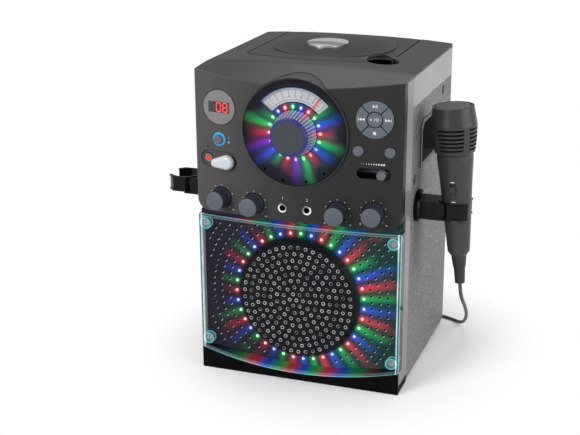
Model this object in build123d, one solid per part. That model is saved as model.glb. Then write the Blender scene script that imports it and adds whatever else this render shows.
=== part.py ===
from build123d import *

import os
from math import atan2, ceil, cos, degrees, floor, hypot, pi, radians, sin, sqrt, tan

# Karaoke machine with a top-loading disc bay, in millimetres.
# X runs to the right, Y to the back, Z up. The origin is on the floor under the middle of the cabinet.

# ---------------------------------------------------------------- cabinet
width = 244.0
depth = 228.0
corner_height = 370.0
top_rise = 5.0
front_bow = 9.0
wall = 2.5
seam = 0.3
slip = 0.3

strip_depth = 38.0
strip_setback = 12.5
cover_notch_setback = 16.5
strip_bottom = 10.0
side_bottom = 4.0
band_bottom = 332.0
skirt_bottom = 366.0
plinth_lip = 2.8
flange_width = 12.0
shelf_height = 200.0
deck_edge_radius = 2.0
cut_margin = 30.0

# ---------------------------------------------------------------- front
panel_bottom = 202.0
panel_depth = 12.0
panel_corner_radius = 14.0
smile_middle = 354.5
smile_end = 366.3
scoop_depth = 37.0

cover_top = 196.0
cover_bottom = 13.5
cover_bottom_rise = 13.5
cover_depth = 16.0
cover_wall = 2.5
cover_boss_radius = 7.0
cover_boss_x = 113.5
cover_boss_high = 185.0
cover_boss_low = 39.0
cover_boss_floor = 2.0

baffle_recess = 6.0
baffle_half_width = 117.0
baffle_lift = 5.5
baffle_high = 191.0
bar_half_width = 119.7
bar_setback = 3.0
bar_top = 214.0

island_height = 104.5
island_inset = 4.0
island_top_radius = 68.0
island_foot_radius = 76.0
hole_rings = 8
hole_pitch = 8.1
holes_per_ring = 5.625
hole_radius = 1.5

light_count = 39
light_angle = 5.6
light_ring_radius = 78.4
light_radius = 1.8
light_length = 3.2
light_tip_share = 0.7
light_tip_length = 1.0
light_board_inner = 75.0
light_board_outer = 82.0
light_board_thickness = 1.6

speaker_flange_radius = 82.0
speaker_throat_radius = 66.0
speaker_flange_thickness = 2.0
speaker_depth = 48.0
speaker_back_radius = 38.0
magnet_radius = 42.0
magnet_thickness = 18.0
voice_coil_radius = 16.0
cone_thickness = 1.0
cone_neck_share = 0.7
cone_roll = 8.0
cap_rim = 4.0
basket_windows = 4
basket_wall = 2.0
basket_floor_gap = 6.0

# ---------------------------------------------------------------- dial
dial_height = 305.0
dial_front = -9.8
housing_radius = 62.0
housing_wall = 1.7
housing_back = 20.0
face_thickness = 1.5
face_drop = 0.4
face_hole_radius = 27.0
window_inner = 34.0
window_outer = 51.3
window_half_angle = 50.0
needle_width = 1.2
needle_angle = 35.0
needle_thickness = 0.6
needle_reach = 50.6
needle_gap = 0.3
needle_riser = 1.4
needle_hub_radius = 6.0
needle_hub_length = 3.0
scale_thickness = 1.0
scale_drop = 1.8
scale_inset = 0.8
scale_extra_angle = 4.0
dial_light_count = 20
dial_light_radius = 30.0
dial_light_size = 1.8
dial_light_length = 2.6
dial_light_angle = 3.0
dial_tip_share = 0.6
dial_tip_length = 0.8
dial_board_inner = 27.2
dial_board_outer = 32.0
dial_board_thickness = 1.6

volume_front = -31.0
volume_cap_radius = 21.2
volume_base_radius = 26.0
volume_flutes = 40
volume_cap_length = 4.0
volume_step = 0.8
volume_bevel = 0.6
stem_radius = 3.0
running_gap = 0.05

# ---------------------------------------------------------------- controls
knob_radius = 11.0
knob_base_radius = 11.5
knob_length = 19.2
knob_dome = 1.2
knob_bevel = 0.3
knob_collar_step = 1.0
knob_flutes = 24
flute_depth = 0.5
flute_radius = 0.9
knob_sink = 1.5
knob_collar = 1.5
outer_knob_x = 90.3
outer_knob_height = 220.6
inner_knob_x = 49.7
inner_knob_height = 218.1
knob_hole_radius = 12.4

jack_x = 14.5
jack_height = 217.1
jack_bore_radius = 3.25
jack_ring_radius = 5.7
jack_bush_radius = 4.7
jack_body_radius = 8.0
jack_length = 16.0
jack_stand = 1.2
jack_ring_gap = 0.15
jack_ring_bevel = 0.4

display_x = -91.5
display_height = 326.0
display_radius = 20.5
display_thickness = 2.0
display_stand = 0.3
display_block_width = 26.0
display_block_height = 13.0

pad_x = 90.3
pad_height = 326.5
pad_radius = 20.8
pad_hub_radius = 8.7
pad_gap = 1.1
pad_stand = 1.0
button_thickness = 4.0
button_travel = 1.2

round_button_radius = 6.0
round_button_height = 290.5
mode_button_x = 72.6
repeat_button_x = 107.4
round_button_stand = 2.4
button_edge_share = 1 / 6

slot_x = 90.0
slot_height = 265.5
slot_length = 38.5
slot_width = 12.0
slider_radius = 5.0
slider_rest = 9.0
slider_stand = 8.0
slider_bevel = 1.0
slider_stem_height = 4.0
slider_stem_width = 6.0
slider_housing_wall = 3.0

power_x = -92.3
power_rise = 23.8
power_radius = 5.4
power_ring_radius = 8.2
power_stand = 4.0
power_travel = 2.0
power_ring_stand = 0.8
power_ring_bevel = 0.8
pinhole_x = -107.0
pinhole_rise = 13.6
pinhole_radius = 0.9

recess_x = -93.2
recess_height = 265.0
recess_length = 46.3
recess_width = 20.0
recess_depth = 2.2
record_x = -107.5
record_radius = 6.0
record_stand = 0.6
usb_x = -88.0
usb_drop = 2.2
usb_width = 12.2
usb_thickness = 4.6
usb_reach = 12.0
stick_length = 27.5
stick_height = 17.0
stick_thickness = 9.0
stick_stand = 2.6
stick_tilt = 8.0
stick_taper = 0.62
stick_front_round = 0.45
stick_back_round = 0.3
usb_shell = 0.8

indicator_points = ((-35.0, 261.0), (-14.0, 250.0), (13.5, 250.7), (34.3, 261.7))
indicator_radius = 1.6

board_thickness = 1.6
board_half_width = 112.0
board_low = 207.0
board_high = 350.0
switch_radius = 2.5
switch_length = 6.0
pot_radius = 8.5
pot_length = 14.0
pot_bore_depth = 8.0
button_stem_radius = 1.4
stem_reach = 1.0

# ---------------------------------------------------------------- lid and disc bay
lid_middle = -4.0
lid_half_width = 86.3
lid_front = 52.5
lid_front_rise = 26.0
lid_corner_radius = 16.0
lid_groove = 1.0
lid_thickness = 2.5
dome_depth = 147.0
dome_radius = 74.0
dome_rise = 4.0
badge_x = -9.5
badge_forward = 10.0
badge_half_width = 24.5
badge_half_length = 27.0
badge_rim = 1.0
badge_rise = 2.4
notch_x = 74.5
notch_depth = 81.0
notch_radius = 18.5
notch_floor = 352.0
barrel_radius = 8.3
barrel_crest = 0.6
pin_radius = 2.5
pin_length = 6.0
ear_thickness = 8.0

platform_drop = 17.0
well_margin = 6.0
well_radius = 63.0
well_depth = 10.0
hub_radius = 7.4
hub_height = 4.0
hub_balls = 3
hub_ball_angle = 30.0
hub_ball_radius = 1.0
hub_ball_sink = 0.4
hub_foot = 2.0
table_radius = 15.0
table_thickness = 2.0
table_gap = 0.8
table_hole_radius = 17.0
motor_radius = 12.0
motor_length = 14.0
motor_drop = 3.0
motor_shaft_radius = 1.0
chassis_drop = 14.0
chassis_thickness = 2.0
chassis_half_width = 72.0
chassis_half_depth = 40.0
chassis_post_radius = 4.0

pickup_start = 26.0
pickup_travel = 32.0
pickup_width = 16.0
pickup_length = 14.0
lens_radius = 3.2
lens_height = 2.0
pickup_slot_width = 19.0
rail_radius = 1.5
rail_offset = 16.0
rail_stand = 4.0
rail_block = 2.0
rail_block_half = 2.5
sled_arm_height = 4.0
sled_arm_end = 1.5
rack_length = 46.0
rack_thickness = 3.0
rack_height = 2.4
gear_radius = 7.0
gear_teeth = 20
gear_thickness = 3.0
gear_pin_radius = 1.5
gear_pin_height = 9.0
tooth_depth = 1.0
tooth_share = 0.3

# ---------------------------------------------------------------- sides
screw_points = ((183.0, 321.4), (52.5, 246.0))
screw_cup_radius = 6.4
screw_cup_depth = 5.0
screw_head_radius = 4.4
screw_head_height = 2.6
screw_shank_radius = 1.9
screw_shank_length = 9.0
driver_slot = 1.0
driver_slot_length = 1.2
screw_edge_share = 0.5
screw_flat_share = 0.7
driver_slot_share = 0.8

pocket_front = 79.0
pocket_back = 150.0
pocket_low = 256.0
pocket_high = 306.0
pocket_depth = 22.0
pocket_wall = 2.0
pocket_rim = 3.0
pocket_rim_stand = 1.0
pocket_corner = 8.0

# ---------------------------------------------------------------- microphone and clips
clip_depth = 68.0
clip_disc_height = 211.0
clip_disc_radius = 19.0
clip_disc_thickness = 7.0
clip_ring_x = 169.0
clip_ring_low = 203.5
clip_ring_high = 222.0
clip_ring_apothem = 19.0
clip_lip = 1.0
clip_lip_height = 2.0
clip_half_gap = 40.0
clip_disc_chamfer = 2.0
neck_half_width = 15.0
neck_low = 200.0
neck_high = 221.0
mic_clearance = 0.3
mic_lean = 4.31
mic_reach = 119.0

head_profile = ((23.3, 0.0), (26.2, 21.0), (25.2, 37.0), (22.8, 52.0))
neck_ring_radius = 20.6
neck_ring_end = 61.5
grip_start = 87.0
grip_start_radius = 18.4
grip_end = 153.0
grip_end_radius = 14.1
tail_end = 170.0
tail_radius = 12.85
relief_start = 175.6
relief_top_radius = 9.25
collar_radius = 7.35
collar_end = 189.7
relief_radius = 5.85
relief_end = 209.5
collar_step = 0.6
relief_tip = 2.0
mesh_height = 2.0
mesh_rim = 2.2
mesh_crown = 0.6
mesh_flat_share = 0.6
vent_rows = 6
vent_first = 23.0
vent_pitch = 4.6
vent_height = 2.3
vent_depth = 3.0
vent_end = 51.0
vent_ribs = 4
vent_rib_width = 7.0
switch_top = 85.0
switch_plate_length = 21.0
switch_plate_width = 7.0
switch_plate_depth = 2.4
switch_knob_length = 7.0
switch_knob_stand = 1.6
switch_slide = 6.0
switch_floor_gap = 0.1

# ---------------------------------------------------------------- microphone cord
cord_diameter = 4.3
cord_length = 2500.0
coil_radius = 24.0
coil_layers = 4
coil_x = 62.0
coil_depth = 269.0
cord_points = (
    (176.95, -46.0, 108.6),
    (178.0, -38.0, 97.0),
    (177.0, -20.0, 84.0),
    (174.0, 8.0, 65.5),
    (169.0, 38.0, 46.5),
    (163.0, 66.0, 29.5),
    (157.0, 87.0, 15.5),
    (150.5, 102.0, 6.0),
    (142.5, 112.5, 2.15),
    (131.0, 119.0, 2.15),
    (117.0, 125.0, 2.15),
    (100.0, 129.6, 2.15),
    (83.0, 131.0, 2.15),
)
arc_share = 0.45
plug_radius = 6.5
plug_body_length = 36.0
plug_tail_length = 14.0
plug_tail_radius = 4.0
plug_tail_start = 9.0
plug_shaft_radius = 3.15
plug_shaft_length = 30.0
plug_tip_length = 5.0
plug_groove_depth = 0.6
plug_groove_width = 1.0

# ---------------------------------------------------------------- inside and back
main_board_left = -50.0
main_board_right = 92.0
main_board_front = 90.0
main_board_back = 190.0
post_height = 6.0
post_radius = 3.0
heat_sink_height = 26.0
heat_sink_length = 60.0
heat_sink_fins = 6
heat_sink_fin = 2.0
heat_sink_plate = 3.0
heat_sink_reach = 8.0
transformer_x = -88.0
transformer_depth = 150.0
transformer_width = 46.0
transformer_length = 56.0
transformer_height = 48.0
winding_width = 30.0
winding_stand = 6.0
socket_x = 60.0
socket_height = 70.0
socket_pitch = 18.0
socket_count = 4
socket_radius = 4.2
socket_bore = 1.8
socket_stand = 5.0
socket_flange = 1.5
socket_inside = 12.0
inlet_x = -70.0
inlet_height = 60.0
inlet_width = 22.0
inlet_tall = 14.0
inlet_inside = 20.0
inlet_recess = 12.0
inlet_pin_x = 3.7
inlet_pin_radius = 1.2
base_screw_inset = 16.0
base_counterbore = 4.0
base_boss_radius = 7.0
capacitor_radius = 6.0
capacitor_height = 24.0
vent_slot_length = 40.0
vent_slot_width = 3.0
vent_slot_spread = 0.75
vent_slot_pitch = 8.0
vent_slot_rows = 6
vent_slot_low = 180.0

# ---------------------------------------------------------------- worked out from the sizes above
half_width = width / 2
front_y = -depth / 2
back_y = depth / 2
bow_radius = (half_width**2 + front_bow**2) / (2 * front_bow)
bow_centre_y = front_y - front_bow + bow_radius
crown_radius = (half_width**2 + top_rise**2) / (2 * top_rise)
top_height = corner_height + top_rise
platform_height = top_height - platform_drop
dome_rim_height = top_height
badge_depth = dome_depth - badge_forward
well_floor = platform_height - well_depth
power_height = recess_height + power_rise
pinhole_height = recess_height + pinhole_rise
usb_height = recess_height - usb_drop
smile_rise = smile_end - smile_middle
smile_radius = (half_width**2 + smile_rise**2) / (2 * smile_rise)
arch_radius = (half_width**2 + cover_bottom_rise**2) / (2 * cover_bottom_rise)
strip_back = front_y + strip_depth
flange_front = strip_back - wall
board_y = flange_front - board_thickness
baffle_y = front_y + baffle_recess
hinge_y = back_y - barrel_radius
hinge_z = top_height + barrel_crest - barrel_radius
dome_sphere = (dome_radius**2 + dome_rise**2) / (2 * dome_rise)
dome_top = dome_rim_height + dome_rise
dome_y = front_y + dome_depth
cover_screw_seat = baffle_y - seam - cover_boss_floor
face_y = front_y + dial_front + face_drop
face_back = face_y + face_thickness
plate_top = well_floor - chassis_drop
rail_z = plate_top + rail_stand
sled_reach = rail_offset + rail_radius + sled_arm_end


# ---------------------------------------------------------------- shared shapes
def bow_y(x, inset=0.0):
    """Y of the bowed front at x, moved in by inset."""
    return bow_centre_y - sqrt((bow_radius - inset) ** 2 - x**2)


def crown_z(x):
    """Height of the crowned top at x."""
    return top_height - crown_radius + sqrt(crown_radius**2 - x**2)


def smile_z(x):
    """Height of the front edge of the scoop at x."""
    return smile_middle + smile_radius - sqrt(smile_radius**2 - x**2)


def arch_z(x, lift):
    """Height of the arched lower edge of the cover at x, raised by lift."""
    return cover_bottom + lift + arch_radius - sqrt(arch_radius**2 - x**2)


def block(x0, x1, y0, y1, z0, z1):
    return Pos((x0 + x1) / 2, (y0 + y1) / 2, (z0 + z1) / 2) * Box(x1 - x0, y1 - y0, z1 - z0)


def rod_x(y, z, radius, x0, x1):
    return Pos((x0 + x1) / 2, y, z) * Rot(0, 90, 0) * Cylinder(radius, x1 - x0)


def rod_y(x, z, radius, y0, y1):
    return Pos(x, (y0 + y1) / 2, z) * Rot(90, 0, 0) * Cylinder(radius, y1 - y0)


def rod_z(x, y, radius, z0, z1):
    return Pos(x, y, (z0 + z1) / 2) * Cylinder(radius, z1 - z0)


def turned_y(points, x, z):
    """Body turned about a line along Y through (x, z); points are (radius, y)."""
    return Pos(x, 0, z) * revolve(make_face(Polyline(*points, close=True)), Axis.Y)


def turned_z(points):
    """Body turned about the Z axis; points are (radius, z)."""
    outline = Polyline(*[(radius, 0, z) for radius, z in points], close=True)
    return revolve(make_face(outline), Axis.Z)


def bowed_block(inset, half_span, back, low, high):
    """Block with the bowed front, moved in by inset, and a flat back."""
    side = bow_y(half_span, inset)
    front = ThreePointArc((-half_span, side), (0, bow_y(0, inset)), (half_span, side))
    rest = Polyline((half_span, side), (half_span, back), (-half_span, back), (-half_span, side))
    face = make_face((front + rest).edges())
    return Pos(0, 0, low) * extrude(face, amount=high - low, dir=(0, 0, 1))


def profile_block(edges, y0, y1):
    """Outline drawn in X and Z, run along Y."""
    return Pos(0, y0, 0) * extrude(make_face(edges), amount=y1 - y0, dir=(0, 1, 0))


def crown_face(drop, half_span, low):
    """Outline under the crowned top, lowered by drop."""
    side = crown_z(half_span) - drop
    top = ThreePointArc((-half_span, 0, side), (0, 0, top_height - drop), (half_span, 0, side))
    rest = Polyline((half_span, 0, side), (half_span, 0, low), (-half_span, 0, low), (-half_span, 0, side))
    return make_face((top + rest).edges())


def crown_block(drop, half_span, low, y0, y1, edge_radius=0.0):
    """Block under the crowned top, with its two long upper edges rounded if asked."""
    face = crown_face(drop, half_span, low)
    if edge_radius > 0:
        face = fillet(face.vertices().sort_by(Axis.Z)[-2:], edge_radius)
    return Pos(0, y0, 0) * extrude(face, amount=y1 - y0, dir=(0, 1, 0))


def arch_block(half_span, lift, high, y0, y1):
    """Block between the arched edge and the level high, which may lie above or below it."""
    side = arch_z(half_span, lift)
    arch = ThreePointArc((-half_span, 0, side), (0, 0, arch_z(0, lift)), (half_span, 0, side))
    rest = Polyline((half_span, 0, side), (half_span, 0, high), (-half_span, 0, high), (-half_span, 0, side))
    return profile_block((arch + rest).edges(), y0, y1)


def scoop_space(drop):
    """Space above the scooped front of the top, lowered by drop."""
    span = half_width + 1
    high = top_height + cut_margin
    front = front_y - front_bow
    back = front_y + scoop_depth
    smile = ThreePointArc((-span, front, smile_z(span) - drop), (0, front, smile_middle - drop),
                          (span, front, smile_z(span) - drop))
    crown = ThreePointArc((-span, back, crown_z(span) - drop), (0, back, top_height - drop),
                          (span, back, crown_z(span) - drop))
    faces = []
    for arc, y, side in ((smile, front, smile_z(span) - drop), (crown, back, crown_z(span) - drop)):
        rest = Polyline((span, y, side), (span, y, high), (-span, y, high), (-span, y, side))
        faces.append(make_face((arc + rest).edges()))
    return loft(faces, ruled=True)


def front_place(x, z, stand=0.0):
    """Place on the bowed front at (x, z), its own Z pointing out of the front."""
    turn = x / bow_radius
    out = Vector(turn, -sqrt(1 - turn**2), 0)
    origin = Vector(x, bow_y(x), z) + out * stand
    return Location(Plane(origin=origin, x_dir=(-out.Y, out.X, 0), z_dir=out))


def ring_points(radius, count, first=0.0):
    """Points round a circle as (x, z), from the first angle in degrees."""
    angles = [radians(first + 360.0 * index / count) for index in range(count)]
    return [(radius * cos(angle), radius * sin(angle)) for angle in angles]


def joined(solids):
    """One body from solids that touch or overlap."""
    whole = solids[0]
    for solid in solids[1:]:
        whole = whole + solid
    return whole


def group(solids):
    """Separate solids that share a node."""
    return Compound(children=[piece for solid in solids for piece in solid.solids()])


def screw(head_radius, head_height, shank_radius, shank_length):
    """Pan-head screw along Z, its head on top and the seat of the head at zero."""
    head = turned_z(((0, 0), (head_radius, 0), (head_radius, head_height * screw_edge_share),
                     (head_radius * screw_flat_share, head_height), (0, head_height)))
    shank = Pos(0, 0, -shank_length / 2) * Cylinder(shank_radius, shank_length)
    slot = Box(head_radius * driver_slot_length, driver_slot, head_height * driver_slot_share)
    slot = Pos(0, 0, head_height) * slot
    cross = Rot(0, 0, 90) * slot
    return head + shank - slot - cross


# ---------------------------------------------------------------- cabinet mouldings
def base_plinth():
    """Black tray under the cabinet, with the arched plinth below the cover."""
    front_block = block(-half_width + seam, half_width - seam, front_y, strip_back, 0, strip_bottom)
    rear_half = half_width - wall - seam
    rear_block = block(-rear_half, rear_half, strip_back, back_y - wall - seam, 0, strip_bottom)
    hollow_half = rear_half - wall
    hollow = block(-hollow_half, hollow_half, front_y + cover_notch_setback + 2 * wall,
                   back_y - 2 * wall - seam, wall, strip_bottom + 1)
    lip = arch_block(half_width, -seam, 0, front_y, front_y + plinth_lip)
    plinth_back = front_y + cover_notch_setback + wall
    plinth = arch_block(rear_half, -seam, 0, front_y, plinth_back)
    plinth_hollow = arch_block(rear_half - wall, -seam - wall, strip_bottom,
                               front_y + plinth_lip, plinth_back - wall)
    base = front_block + rear_block - hollow + lip + plinth - plinth_hollow
    for x, y in base_screw_centres():
        base = base + rod_z(x, y, base_boss_radius, 0, strip_bottom)
    for x, y in base_screw_centres():
        base = base - rod_z(x, y, screw_head_radius + seam, -1, base_counterbore)
        base = base - rod_z(x, y, screw_shank_radius + running_gap, 0, strip_bottom + 1)
    return base


def pocket_outline(grow):
    """Outline of a grip pocket in Y and Z, its upper front corner cut back."""
    low_y = front_y + pocket_front - grow
    high_y = front_y + pocket_back + grow
    corner = Vector(0, low_y, pocket_high + grow)
    points = ((0, low_y, pocket_low - grow), (0, high_y, pocket_low - grow),
              (0, high_y, pocket_high + grow), (0, corner.Y + pocket_corner, corner.Z),
              (0, low_y, corner.Z - pocket_corner))
    return make_face(Polyline(*points, close=True))


def pocket_space(side, grow, outer, inner):
    """Grip pocket outline run inward in X, from outer to inner distance from the middle."""
    face = Pos(side * inner, 0, 0) * pocket_outline(grow)
    return extrude(face, amount=outer - inner, dir=(side, 0, 0))


def cabinet_shell():
    """Speckled U-shaped shell: two sides and a floor."""
    back = back_y - wall
    front = strip_back + seam
    outer = block(-half_width, half_width, front, back, side_bottom, band_bottom)
    inner_half = half_width - wall
    inner = block(-inner_half, inner_half, front - 1, back + 1, strip_bottom + wall, band_bottom + 1)
    below = block(-inner_half, inner_half, front - 1, back + 1, side_bottom - 1, strip_bottom)
    shell = outer - inner - below
    screw_hole = screw_shank_radius + running_gap
    for x, y in base_screw_centres():
        shell = shell - rod_z(x, y, screw_hole, strip_bottom - 1, strip_bottom + wall + 1)
    for side in (-1, 1):
        for depth_in, height in screw_points:
            y = front_y + depth_in
            reach = half_width - screw_cup_depth
            start, end = sorted((side * (reach - wall), side * half_width))
            shell = shell + rod_x(y, height, screw_cup_radius + wall, start, end)
            start, end = sorted((side * reach, side * (half_width + 1)))
            shell = shell - rod_x(y, height, screw_cup_radius, start, end)
            start, end = sorted((side * (reach - wall - 1), side * half_width))
            shell = shell - rod_x(y, height, screw_hole, start, end)
        shell = shell - pocket_space(side, seam, half_width + 1, half_width - wall - 1)
        start, end = sorted((side * (half_width - wall - 1), side * (half_width + 1)))
        shell = shell - rod_x(front_y + clip_depth, clip_disc_height, screw_hole, start, end)
    return shell


def upper_band():
    """Smooth band round the top of the cabinet: two sides and the back."""
    front = strip_back + seam
    outer = block(-half_width, half_width, front, back_y, band_bottom, skirt_bottom)
    inner_half = half_width - wall
    inner = block(-inner_half, inner_half, front - 1, back_y - wall, band_bottom - 1, skirt_bottom + 1)
    left = lid_middle - lid_half_width - lid_groove
    right = lid_middle + lid_half_width + lid_groove
    barrel_gap = block(left, right, back_y - wall - 1, back_y + 1, platform_height - slip, skirt_bottom + 1)
    return outer - inner - barrel_gap


def socket_centres():
    return [socket_x + socket_pitch * index for index in range(socket_count)]


def rear_panel():
    """Flat back with the socket holes, the mains inlet and air slots."""
    panel = block(-half_width, half_width, back_y - wall, back_y, side_bottom, band_bottom)
    for x in socket_centres():
        panel = panel - rod_y(x, socket_height, socket_radius + running_gap, back_y - wall - 1, back_y + 1)
    panel = panel - block(inlet_x - inlet_width / 2, inlet_x + inlet_width / 2, back_y - wall - 1, back_y + 1,
                          inlet_height - inlet_tall / 2, inlet_height + inlet_tall / 2)
    for row in range(vent_slot_rows):
        z = vent_slot_low + row * vent_slot_pitch
        for side in (-1, 1):
            x = side * vent_slot_length * vent_slot_spread
            panel = panel - block(x - vent_slot_length / 2, x + vent_slot_length / 2, back_y - wall - 1,
                                  back_y + 1, z, z + vent_slot_width)
    return panel


def front_frame():
    """Light side strips joined behind the panel by a flat ring with a shelf."""
    top = skirt_bottom - seam
    strips = []
    for side in (-1, 1):
        start, end = sorted((side * (half_width - wall), side * half_width))
        strip = block(start, end, front_y + plinth_lip + seam, strip_back, strip_bottom, top)
        notch = block(start - 1, end + 1, front_y - 1, front_y + cover_notch_setback,
                      arch_z(half_width - wall, -seam), bar_top)
        upper = block(start - 1, end + 1, front_y - 1, front_y + strip_setback, bar_top - 1, top + 1)
        strips.append(strip - notch - upper)
    ring = block(-half_width, half_width, flange_front, strip_back, strip_bottom, top)
    opening_half = half_width - flange_width
    lower = block(-opening_half, opening_half, flange_front - 1, strip_back + 1,
                  strip_bottom + flange_width, shelf_height - flange_width / 2)
    upper = block(-opening_half, opening_half, flange_front - 1, strip_back + 1,
                  shelf_height + flange_width / 2, top - flange_width)
    return joined(strips) + (ring - lower - upper)


def rounded_block(inset, half_span, back, low, high, corner_radius):
    """Bowed block with its two lower side edges rounded."""
    body = bowed_block(inset, half_span, back, low, high)
    return fillet(body.edges().filter_by(Axis.Y).group_by(Axis.Z)[0], corner_radius)


def slot_shape(length, breadth, height):
    """Round-ended bar standing on the local XY plane."""
    return extrude(SlotOverall(length, breadth), amount=height)


def control_panel():
    """Bowed charcoal fascia with returns, and a hole for each control."""
    back = front_y + panel_depth
    high = top_height
    outer = rounded_block(0, half_width, back, panel_bottom, high, panel_corner_radius)
    inner = rounded_block(wall, half_width - wall, back + 1, panel_bottom + wall, high + 1,
                          panel_corner_radius - wall)
    above = bowed_block(wall, half_width + 1, back + 1, skirt_bottom - seam, high + 1)
    panel = outer - inner - scoop_space(0) - above
    reach = 2 * front_bow
    panel = panel - rod_y(0, dial_height, housing_radius + slip, front_y - reach, back)
    holes = []
    for x, z, radius in panel_holes():
        holes.append(front_place(x, z) * Cylinder(radius, reach))
    holes.append(front_place(slot_x, slot_height, -reach / 2) * slot_shape(slot_length, slot_width, reach))
    holes.append(front_place(recess_x, recess_height, -recess_depth)
                 * slot_shape(recess_length, recess_width, reach))
    for hole in holes:
        panel = panel - hole
    tray = front_place(recess_x, recess_height, -recess_depth - wall)
    tray = tray * slot_shape(recess_length + 2 * wall, recess_width + 2 * wall, wall)
    panel = panel + tray
    holes = [front_place(record_x, recess_height) * Cylinder(record_radius + slip, reach)]
    holes.append(front_place(usb_x, usb_height) * Box(usb_width + 2 * slip, usb_thickness + 2 * slip, reach))
    for hole in holes:
        panel = panel - hole
    return panel


def panel_holes():
    """Round holes through the fascia as (x, z, radius)."""
    holes = [(display_x, display_height, display_radius + slip), (pad_x, pad_height, pad_radius + slip)]
    for x in (mode_button_x, repeat_button_x):
        holes.append((x, round_button_height, round_button_radius + slip))
    holes.append((power_x, power_height, power_ring_radius + slip))
    holes.append((pinhole_x, pinhole_height, pinhole_radius))
    for x, z in knob_centres():
        holes.append((x, z, knob_hole_radius))
    for side in (-1, 1):
        holes.append((side * jack_x, jack_height, jack_bush_radius + slip / 2))
    return holes


def knob_centres():
    return [(-outer_knob_x, outer_knob_height), (-inner_knob_x, inner_knob_height),
            (inner_knob_x, inner_knob_height), (outer_knob_x, outer_knob_height)]


def lid_outline(grow):
    """Outline of the lid in plan, grown all round, open-ended past the back edge."""
    half = lid_half_width
    front = front_y + lid_front
    side = front + lid_front_rise
    arc = ThreePointArc((lid_middle - half, side), (lid_middle, front), (lid_middle + half, side))
    rest = Polyline((lid_middle + half, side), (lid_middle + half, back_y),
                    (lid_middle - half, back_y), (lid_middle - half, side))
    face = fillet(make_face((arc + rest).edges()).vertices().sort_by(Axis.Y)[:2], lid_corner_radius)
    return offset(face, amount=grow) if grow else face


def lid_prism(grow, low, high):
    """The lid's outline, grown all round, run up from low to high."""
    return Pos(0, 0, low) * extrude(lid_outline(grow), amount=high - low, dir=(0, 0, 1))


def ear_block(grow):
    """Space of the two hinge ears beside the lid's barrel."""
    ears = []
    for side in (-1, 1):
        near = lid_middle + side * (lid_half_width + lid_groove - grow)
        far = lid_middle + side * (lid_half_width + lid_groove + ear_thickness + grow)
        start, end = sorted((near, far))
        ears.append(block(start, end, hinge_y - barrel_radius - grow, back_y - wall - seam,
                          hinge_z - pin_radius - wall - grow, top_height))
    return joined(ears)


def top_deck():
    """Crowned top with the scooped front, the lid opening and the hinge ears."""
    low = smile_middle - cut_margin
    nose = front_y - front_bow
    outer = crown_block(0, half_width, low, nose, back_y, deck_edge_radius)
    outer = outer & bowed_block(wall + seam, half_width, back_y, low, top_height + 1)
    inner = crown_block(wall, half_width - wall, low - 1, nose - 1, back_y - wall)
    deck = (outer - scoop_space(0)) - (inner - scoop_space(wall))
    skirt_cut = block(-half_width - 1, half_width + 1, nose - 1, back_y + 1, low - 1, skirt_bottom)
    keep = block(-half_width + wall, half_width - wall, nose - 2, back_y - wall, low - 2, skirt_bottom + 1)
    deck = deck - (skirt_cut - keep)
    deck = deck + (ear_block(0) & crown_block(0, half_width, low, nose, back_y, deck_edge_radius))
    deck = deck - lid_prism(lid_groove, low - 1, top_height + 1)
    deck = deck - block(lid_middle - lid_half_width - lid_groove, lid_middle + lid_half_width + lid_groove,
                        hinge_y, back_y + 1, low - 1, top_height + 1)
    ear_reach = lid_half_width + lid_groove + ear_thickness + 1
    deck = deck - rod_x(hinge_y, hinge_z, pin_radius + running_gap,
                        lid_middle - ear_reach, lid_middle + ear_reach)
    deck = deck - rod_z(notch_x, front_y + notch_depth, notch_radius, low, top_height + 1)
    return deck - rod_y(0, dial_height, housing_radius + slip, nose - 1, front_y + housing_back + slip)


def disc_well():
    """Black tub under the lid: platform, disc recess and finger notch."""
    back = back_y - wall - seam
    low = platform_height - wall
    span = half_width - wall
    body = crown_block(wall, span, low, front_y, back) & lid_prism(well_margin, low, top_height)
    notch_y = front_y + notch_depth
    cup = rod_z(notch_x, notch_y, notch_radius + wall, notch_floor - wall, top_height)
    body = body + (cup & crown_block(wall, span, notch_floor - wall, front_y, back))
    body = body + rod_z(lid_middle, dome_y, well_radius + wall, well_floor - wall, platform_height)
    body = body - lid_prism(lid_groove, platform_height, top_height + 1)
    body = body - block(lid_middle - lid_half_width - lid_groove, lid_middle + lid_half_width + lid_groove,
                        hinge_y, back_y, platform_height, top_height)
    body = body - rod_z(lid_middle, dome_y, well_radius, well_floor, platform_height + 1)
    body = body - rod_z(notch_x, notch_y, notch_radius, notch_floor, top_height)
    body = body - rod_z(lid_middle, dome_y, table_hole_radius, well_floor - wall - 1, well_floor + 1)
    slot_start = lid_middle + pickup_start - pickup_length / 2 - seam
    slot_end = lid_middle + pickup_start + pickup_travel + pickup_length / 2 + seam
    body = body - block(slot_start, slot_end, dome_y - pickup_slot_width / 2, dome_y + pickup_slot_width / 2,
                        well_floor - wall - 1, well_floor + 1)
    return body - ear_block(seam)


def lid_top():
    """Solid under the lid's outer surface: the crown with the round dome on it."""
    low = platform_height + slip
    crown = crown_block(0, half_width, low, front_y, back_y)
    sphere = Pos(lid_middle, dome_y, dome_top - dome_sphere) * Sphere(dome_sphere)
    dome = rod_z(lid_middle, dome_y, dome_radius, top_height - 2 * top_rise, dome_top + 1) & sphere
    return crown + dome


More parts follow.
